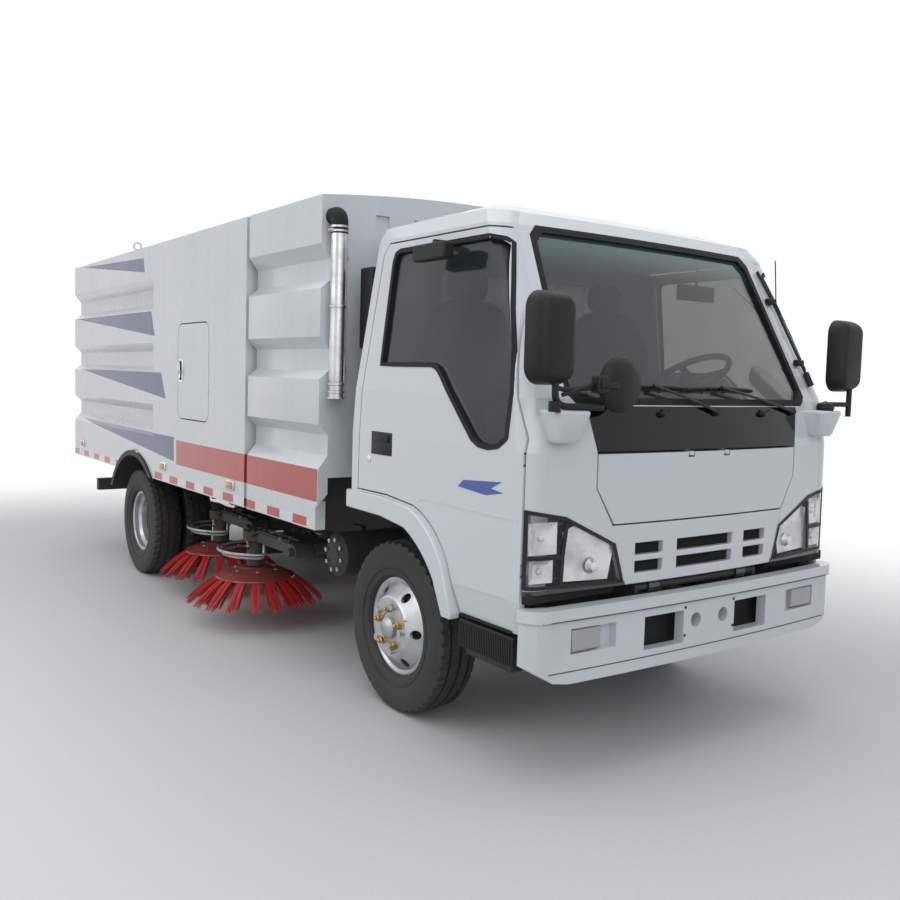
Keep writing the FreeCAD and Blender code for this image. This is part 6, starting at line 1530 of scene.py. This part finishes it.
# %% Body fittings
for side, name in ((-1, "right"), (1, "left")):
    face_x = BODY_HALF * side
    frames, lenses = bmesh.new(), bmesh.new()
    for behind in (4.667, 2.650, 1.510):
        ends = sorted((face_x, face_x + side * 0.010))
        soft_box(frames, at(ends[0], behind - 0.052, 0.826), at(ends[1], behind + 0.052, 0.882), 0.004, 2)
        ends = sorted((face_x + side * 0.004, face_x + side * 0.016))
        soft_box(lenses, at(ends[0], behind - 0.042, 0.835), at(ends[1], behind + 0.042, 0.873), 0.005, 2)
    finished("marker_frames_" + name, frames, "chrome", "hopper", "galvanised")
    finished("marker_lenses_" + name, lenses, "lamp_amber", "hopper", "lamp_red")
    hatch = "hatch_" + name
    bm = bmesh.new()
    ends = sorted((face_x, face_x + side * 0.006))
    soft_box(bm, at(ends[0], 2.290, 1.415), at(ends[1], 2.358, 1.560), 0.0028, 2)
    add_tube(bm, [at(face_x + side * 0.010, 2.318, 1.445), at(face_x + side * 0.014, 2.318, 1.530)],
             [0.009, 0.010], 10)
    add_lathe(bm, [(0.0, 0.0), (0.013, 0.0), (0.013, 0.016), (0.008, 0.020), (0.0, 0.020)],
              at(face_x, 2.342, 1.470), (side, 0, 0), 20)
    finished("hatch_latch_" + name, bm, "chrome", hatch, "galvanised")
    # Painted shade: a flat near-black plate stands for the shadow in the latch's recessed dish.
    bm = bmesh.new()
    ends = sorted((face_x + side * 0.0055, face_x + side * 0.0075))
    soft_box(bm, at(ends[0], 2.300, 1.428), at(ends[1], 2.336, 1.548), 0.0009, 1)
    finished("hatch_latch_dish_" + name, bm, "dark_inside", hatch, "black_plastic")
    pin_x = 0.9884 * side
    bm = bmesh.new()
    for z in (1.32, 1.64):
        add_tube(bm, [at(pin_x, 1.872, z - 0.035), at(pin_x, 1.872, z + 0.035)], 0.005, 10)
    finished("hatch_knuckles_" + name, bm, "galvanised", hatch, "galvanised")
print("side fittings done")

# %% [markdown]
# ## Intake stack
#
# The engine breathes through a bright steel tube with a black rubber elbow on top and a band clamp
# at each joint. Everything is a lathe about the stack's own axis, apart from the bent elbow.

# %% Intake stack
stack = Vector((-0.930, FRONT_AXLE + 0.4115, 0))
level = Vector((0, 0, 1))
bm = bmesh.new()
add_lathe(bm, [(0.036, 1.384), (0.0385, 1.380), (0.0385, 2.168), (0.036, 2.170), (0.033, 2.160),
               (0.033, 1.390), (0.036, 1.384)], stack, level, 40)
for z in (1.404, 1.44, 1.80):
    add_lathe(bm, [(0.038, z), (0.0435, z + 0.003), (0.0435, z + 0.013), (0.038, z + 0.016)],
              stack, level, 40)
add_lathe(bm, [(0.038, 1.380), (0.045, 1.380), (0.045, 1.388), (0.038, 1.390)], stack, level, 40)
finished("intake_stack", bm, "stainless", body_of("intake_pipe"), "galvanised", replaces=("intake_pipe",))
bm = bmesh.new()
add_tube(bm, bend([stack + Vector((0, 0, 2.140)), stack + Vector((0, 0, 2.2255)),
                   stack + Vector((0, 0.062, 2.2255))], 0.045, 8), 0.0405, 28)
finished("intake_elbow", bm, "rubber_black", body_of("intake_pipe"), "rubber_black")
bm = bmesh.new()
for z in (2.146, 2.166):
    add_lathe(bm, [(0.040, z), (0.0428, z + 0.001), (0.0428, z + 0.010), (0.040, z + 0.011)],
              stack, level, 40)
add_lathe(bm, [(0.0, 0.0), (0.006, 0.0), (0.006, 0.034), (0.0, 0.034)],
          stack + Vector((-0.044, -0.017, 2.156)), (0, 1, 0), 8)
for z in (1.50, 2.02):
    add_box(bm, stack + Vector((0.020, -0.010, z)), stack + Vector((0.045, 0.062, z + 0.03)), 0.003)
finished("intake_clamps", bm, "galvanised", body_of("intake_pipe"), "galvanised")
print("stack done")

# %% [markdown]
# ## Tank
#
# The round tank behind the cab hangs in two straps, and its end plate is bolted on all round.

# %% Tank straps and bolts
bm = bmesh.new()
tank = Vector((-0.755, -1.208, 0.572))
for x in (-0.690, -0.450):
    add_lathe(bm, [(0.112, 0.0), (0.1145, 0.0), (0.1145, 0.028), (0.112, 0.028)],
              Vector((x, tank.y, tank.z)), (1, 0, 0), 48)
add_lathe(bm, [(0.0, -0.003), (0.040, -0.003), (0.044, 0.0), (0.044, 0.004), (0.0, 0.004)],
          tank, (-1, 0, 0), 40)
finished("tank_straps", bm, "frame_black", body_of("tanks"), "frame_black")
bm = bmesh.new()
add_lathe(bm, [(0.0, 0.0), (0.012, 0.0), (0.012, 0.009), (0.0, 0.009)], tank + Vector((-0.002, 0, 0.080)),
          (-1, 0, 0), 6)
ring("tank_bolts", bm, 8, tank, (1, 0, 0), "galvanised", body_of("tanks"), start=0.2)
print("tank done")

# %% [markdown]
# ## The tail
#
# The tailgate hangs from two straps at its top and shuts with a toggle clamp at each lower corner.
# Red lamps sit on the guard bar, with a black holder between them.

# %% Tail
tail_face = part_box("tailgate")[1].y
bm = bmesh.new()
STRAP_X, CLAMP_X = 0.40, 0.805
for side in (-1, 1):
    x = CLAMP_X * side
    add_box(bm, (x - 0.035, tail_face - 0.004, 1.030), (x + 0.035, tail_face + 0.005, 1.170), 0.002)
    for rod in (x - 0.018, x + 0.018):
        add_tube(bm, bend([(rod, tail_face + 0.008, 1.045), (rod, tail_face + 0.018, 1.060),
                           (rod, tail_face + 0.018, 1.150)], 0.01), 0.0045, 8)
    add_lathe(bm, [(0.0, -0.030), (0.010, -0.030), (0.010, 0.030), (0.0, 0.030)],
              (x, tail_face + 0.013, 1.150), (1, 0, 0), 16)
    add_box(bm, (side * STRAP_X - 0.030, tail_face - 0.004, 2.090),
            (side * STRAP_X + 0.030, tail_face + 0.006, 2.262), 0.002)
finished("tail_clamps", bm, "galvanised", body_of("tailgate"), "galvanised")
bm = bmesh.new()
bar_low, bar_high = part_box("rear_guard_bar")
middle_z = bar_low.z + 0.085
soft_box(bm, (-0.230, bar_high.y - 0.002, middle_z - 0.060),
         (0.230, bar_high.y + 0.004, middle_z + 0.060), 0.0025, 1)
finished("plate_holder", bm, "black_plastic", body_of("rear_guard_bar"), "black_plastic")
print("tail done", round(tail_face, 3), [round(v, 3) for v in (*bar_low, *bar_high)])

# %% [markdown]
# ## Seats
#
# The seats are foam under cloth: a cushion, a back with side bolsters and a head rest. A cloth could
# be inflated over them, but through dark glass a coarse cage that bulges as stuffing does, smoothed
# by subdivision, looks the same.

# %% Seats
def cushion(bm, low, high, puff, cuts=3):
    """A pillow-like box: its broad faces bulge and its edges stay low."""
    low, high = Vector(low), Vector(high)
    middle, half = (low + high) / 2, (high - low) / 2
    pad = bmesh.new()
    bmesh.ops.create_cube(pad, size=2.0)
    bmesh.ops.subdivide_edges(pad, edges=pad.edges, cuts=cuts, use_grid_fill=True)
    for v in pad.verts:
        c = v.co.copy()
        bulge = [1 + puff * (1 - c[(k + 1) % 3] ** 2) * (1 - c[(k + 2) % 3] ** 2) for k in range(3)]
        pull = 1 - 0.06 * sum(abs(c[k]) > 0.99 for k in range(3))
        v.co = middle + Vector((c[k] * half[k] * bulge[k] * pull for k in range(3)))
    mesh = bpy.data.meshes.new("pad")
    pad.to_mesh(mesh)
    pad.free()
    bm.from_mesh(mesh)
    bpy.data.meshes.remove(mesh)


seat_low, seat_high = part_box("seats")
print("seats", [round(v, 3) for v in (*seat_low, *seat_high)])
for side, name in ((-1, "right"), (1, "left")):
    x = 0.4464 * side
    parts = bmesh.new()
    cushion(parts, at(x - 0.235, -0.385, 1.175), at(x + 0.235, 0.075, 1.300), 0.18)
    cushion(parts, at(x - 0.225, -0.020, 1.270), at(x + 0.225, 0.100, 1.840), 0.14, 4)
    cushion(parts, at(x - 0.105, 0.020, 1.850), at(x + 0.105, 0.100, 1.990), 0.16)
    for bolster in (-1, 1):
        edge_x = x + bolster * 0.215
        cushion(parts, at(edge_x - 0.035, -0.040, 1.300), at(edge_x + 0.035, 0.060, 1.700), 0.2)
    seat_piece = finished("seat_" + name, parts, "seat_fabric", "cab", "seat_fabric", smooth=60,
                          replaces=("seats",) if side > 0 else ())
    soften = seat_piece.modifiers.new("stuffing", "SUBSURF")
    soften.levels = soften.render_levels = 2
    bm = bmesh.new()
    add_box(bm, at(x - 0.20, -0.33, 1.032), at(x + 0.20, 0.06, 1.190), 0.01)
    for rod_x in (-0.05, 0.05):
        add_tube(bm, [at(x + rod_x, 0.06, 1.80), at(x + rod_x, 0.06, 1.90)], 0.006, 8)
    finished("seat_frame_" + name, bm, "black_plastic", "cab", "interior_grey")
print("seats done")

# %% [markdown]
# ## In the cabin
#
# A gear lever and a rear-view mirror can be seen through the glass.

# %% Cabin fittings
bm = bmesh.new()
add_tube(bm, bend([at(0.03, -0.52, 1.04), at(0.03, -0.54, 1.20), at(0.04, -0.50, 1.33)], 0.05), 0.009, 10)
add_lathe(bm, [(0.0, -0.03), (0.016, -0.026), (0.022, 0.0), (0.018, 0.024), (0.0, 0.030)],
          at(0.04, -0.50, 1.345), (0, 0, 1), 20)
add_tube(bm, bend([at(0.30, -0.640, 2.05), at(0.30, -0.662, 1.99), at(0.30, -0.655, 1.93)], 0.03), 0.006, 8)
soft_box(bm, at(0.18, -0.668, 1.865), at(0.42, -0.640, 1.935), 0.012, 3)
finished("cabin_fittings", bm, "black_plastic", "cab", "interior_grey")
bm = bmesh.new()
soft_box(bm, at(0.195, -0.6405, 1.876), at(0.405, -0.6375, 1.924), 0.001, 1)
finished("cabin_mirror", bm, "chrome", "cab", "interior_grey")
print("cabin done")

# %% [markdown]
# ## Floor
#
# The truck stands on a pale plain floor that keeps its shadow. A short way out the floor fades to
# nothing, so that its far edge never shows against the white behind it.

# %% Floor
bm = bmesh.new()
bmesh.ops.create_grid(bm, x_segments=1, y_segments=1, size=60)
floor_mesh = bpy.data.meshes.new("floor")
bm.to_mesh(floor_mesh)
bm.free()
floor = bpy.data.objects.new("floor", floor_mesh)
bpy.context.scene.collection.objects.link(floor)
floor.location.z = -0.002
ground = Finish("ground")
beyond_x = (ground.x.size() - 1.1).math("MAXIMUM", 0)
beyond_y = (ground.y.size() - 3.0).math("MAXIMUM", 0)
away = (beyond_x * beyond_x + beyond_y * beyond_y).math("SQRT")
fade = ground.node("ShaderNodeMapRange", {"clamp": True, "interpolation_type": "SMOOTHSTEP"},
                   {"Value": away, "From Min": 0.5, "From Max": 4.5, "To Min": 1.0, "To Max": 0.0})
floor_mesh.materials.append(ground.surface(
    ground.mix((0.58, 0.58, 0.575), (0.64, 0.64, 0.635), ground.noise(60, 3)), ground.noise(5, 3) * 0.1 + 0.6,
    alpha=fade))
floor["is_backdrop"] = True
print("floor ready")

# %% [markdown]
# ## Lamps
#
# Three large area lamps, overhead, in front and at the side, give the soft light of a studio. Small
# lamps would draw hard edges, and more power would only burn the white paint out.

# %% Lamps
def soft_lamp(name, place, target, size, power):
    data = bpy.data.lights.new(name, "AREA")
    data.shape = "RECTANGLE"
    data.size, data.size_y = size
    data.energy = power
    lamp = bpy.data.objects.new(name, data)
    bpy.context.scene.collection.objects.link(lamp)
    lamp.location = place
    lamp.rotation_euler = (Vector(target) - Vector(place)).to_track_quat("-Z", "Y").to_euler()
    lamp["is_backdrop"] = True


soft_lamp("overhead", (-1.5, -1.0, 7.5), (0, 0, 0), (9, 11), 235)
soft_lamp("front", (-3.5, -9.5, 4.5), (0, -1, 1.0), (7, 5), 150)
soft_lamp("side", (-9.0, 0.5, 4.5), (0, 0, 1.0), (8, 4.5), 165)
print("lamps ready")

# %% [markdown]
# ## World
#
# The world lights the truck from a pale ceiling over greyer walls. The camera, mirrors and glass see
# the plain white background instead, which the Light Path node picks out by the kind of ray.

# %% World
world = bpy.data.worlds.new("studio")
bpy.context.scene.world = world
room = Finish("studio", world)
shade = room.ramp(room.z, (0.0, 0.16), (0.15, 0.34), (0.8, 1.0))
walls = room.mix((0.02, 0.02, 0.022), (0.90, 0.95, 1.0), shade)
lit = room.node("ShaderNodeBackground", {}, {"Color": walls, "Strength": 0.74})
plain = room.node("ShaderNodeBackground", {}, {"Color": (1, 1, 1, 1), "Strength": 1.0})
rays = room.tree.nodes.new("ShaderNodeLightPath")
seen = Signal(room, rays.outputs["Is Camera Ray"])
for ray in ("Is Glossy Ray", "Is Transmission Ray"):
    seen = seen.math("MAXIMUM", Signal(room, rays.outputs[ray]))
chosen = room.node("ShaderNodeMixShader", {}, (seen, lit, plain))
world_out = room.tree.nodes.new("ShaderNodeOutputWorld")
room.tree.links.new(chosen.socket, world_out.inputs["Surface"])
bpy.context.scene.view_settings.view_transform = "Standard"
print("world ready")

# %% Finish
low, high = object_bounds()
print("size", [round(v, 4) for v in (*low, *high)])
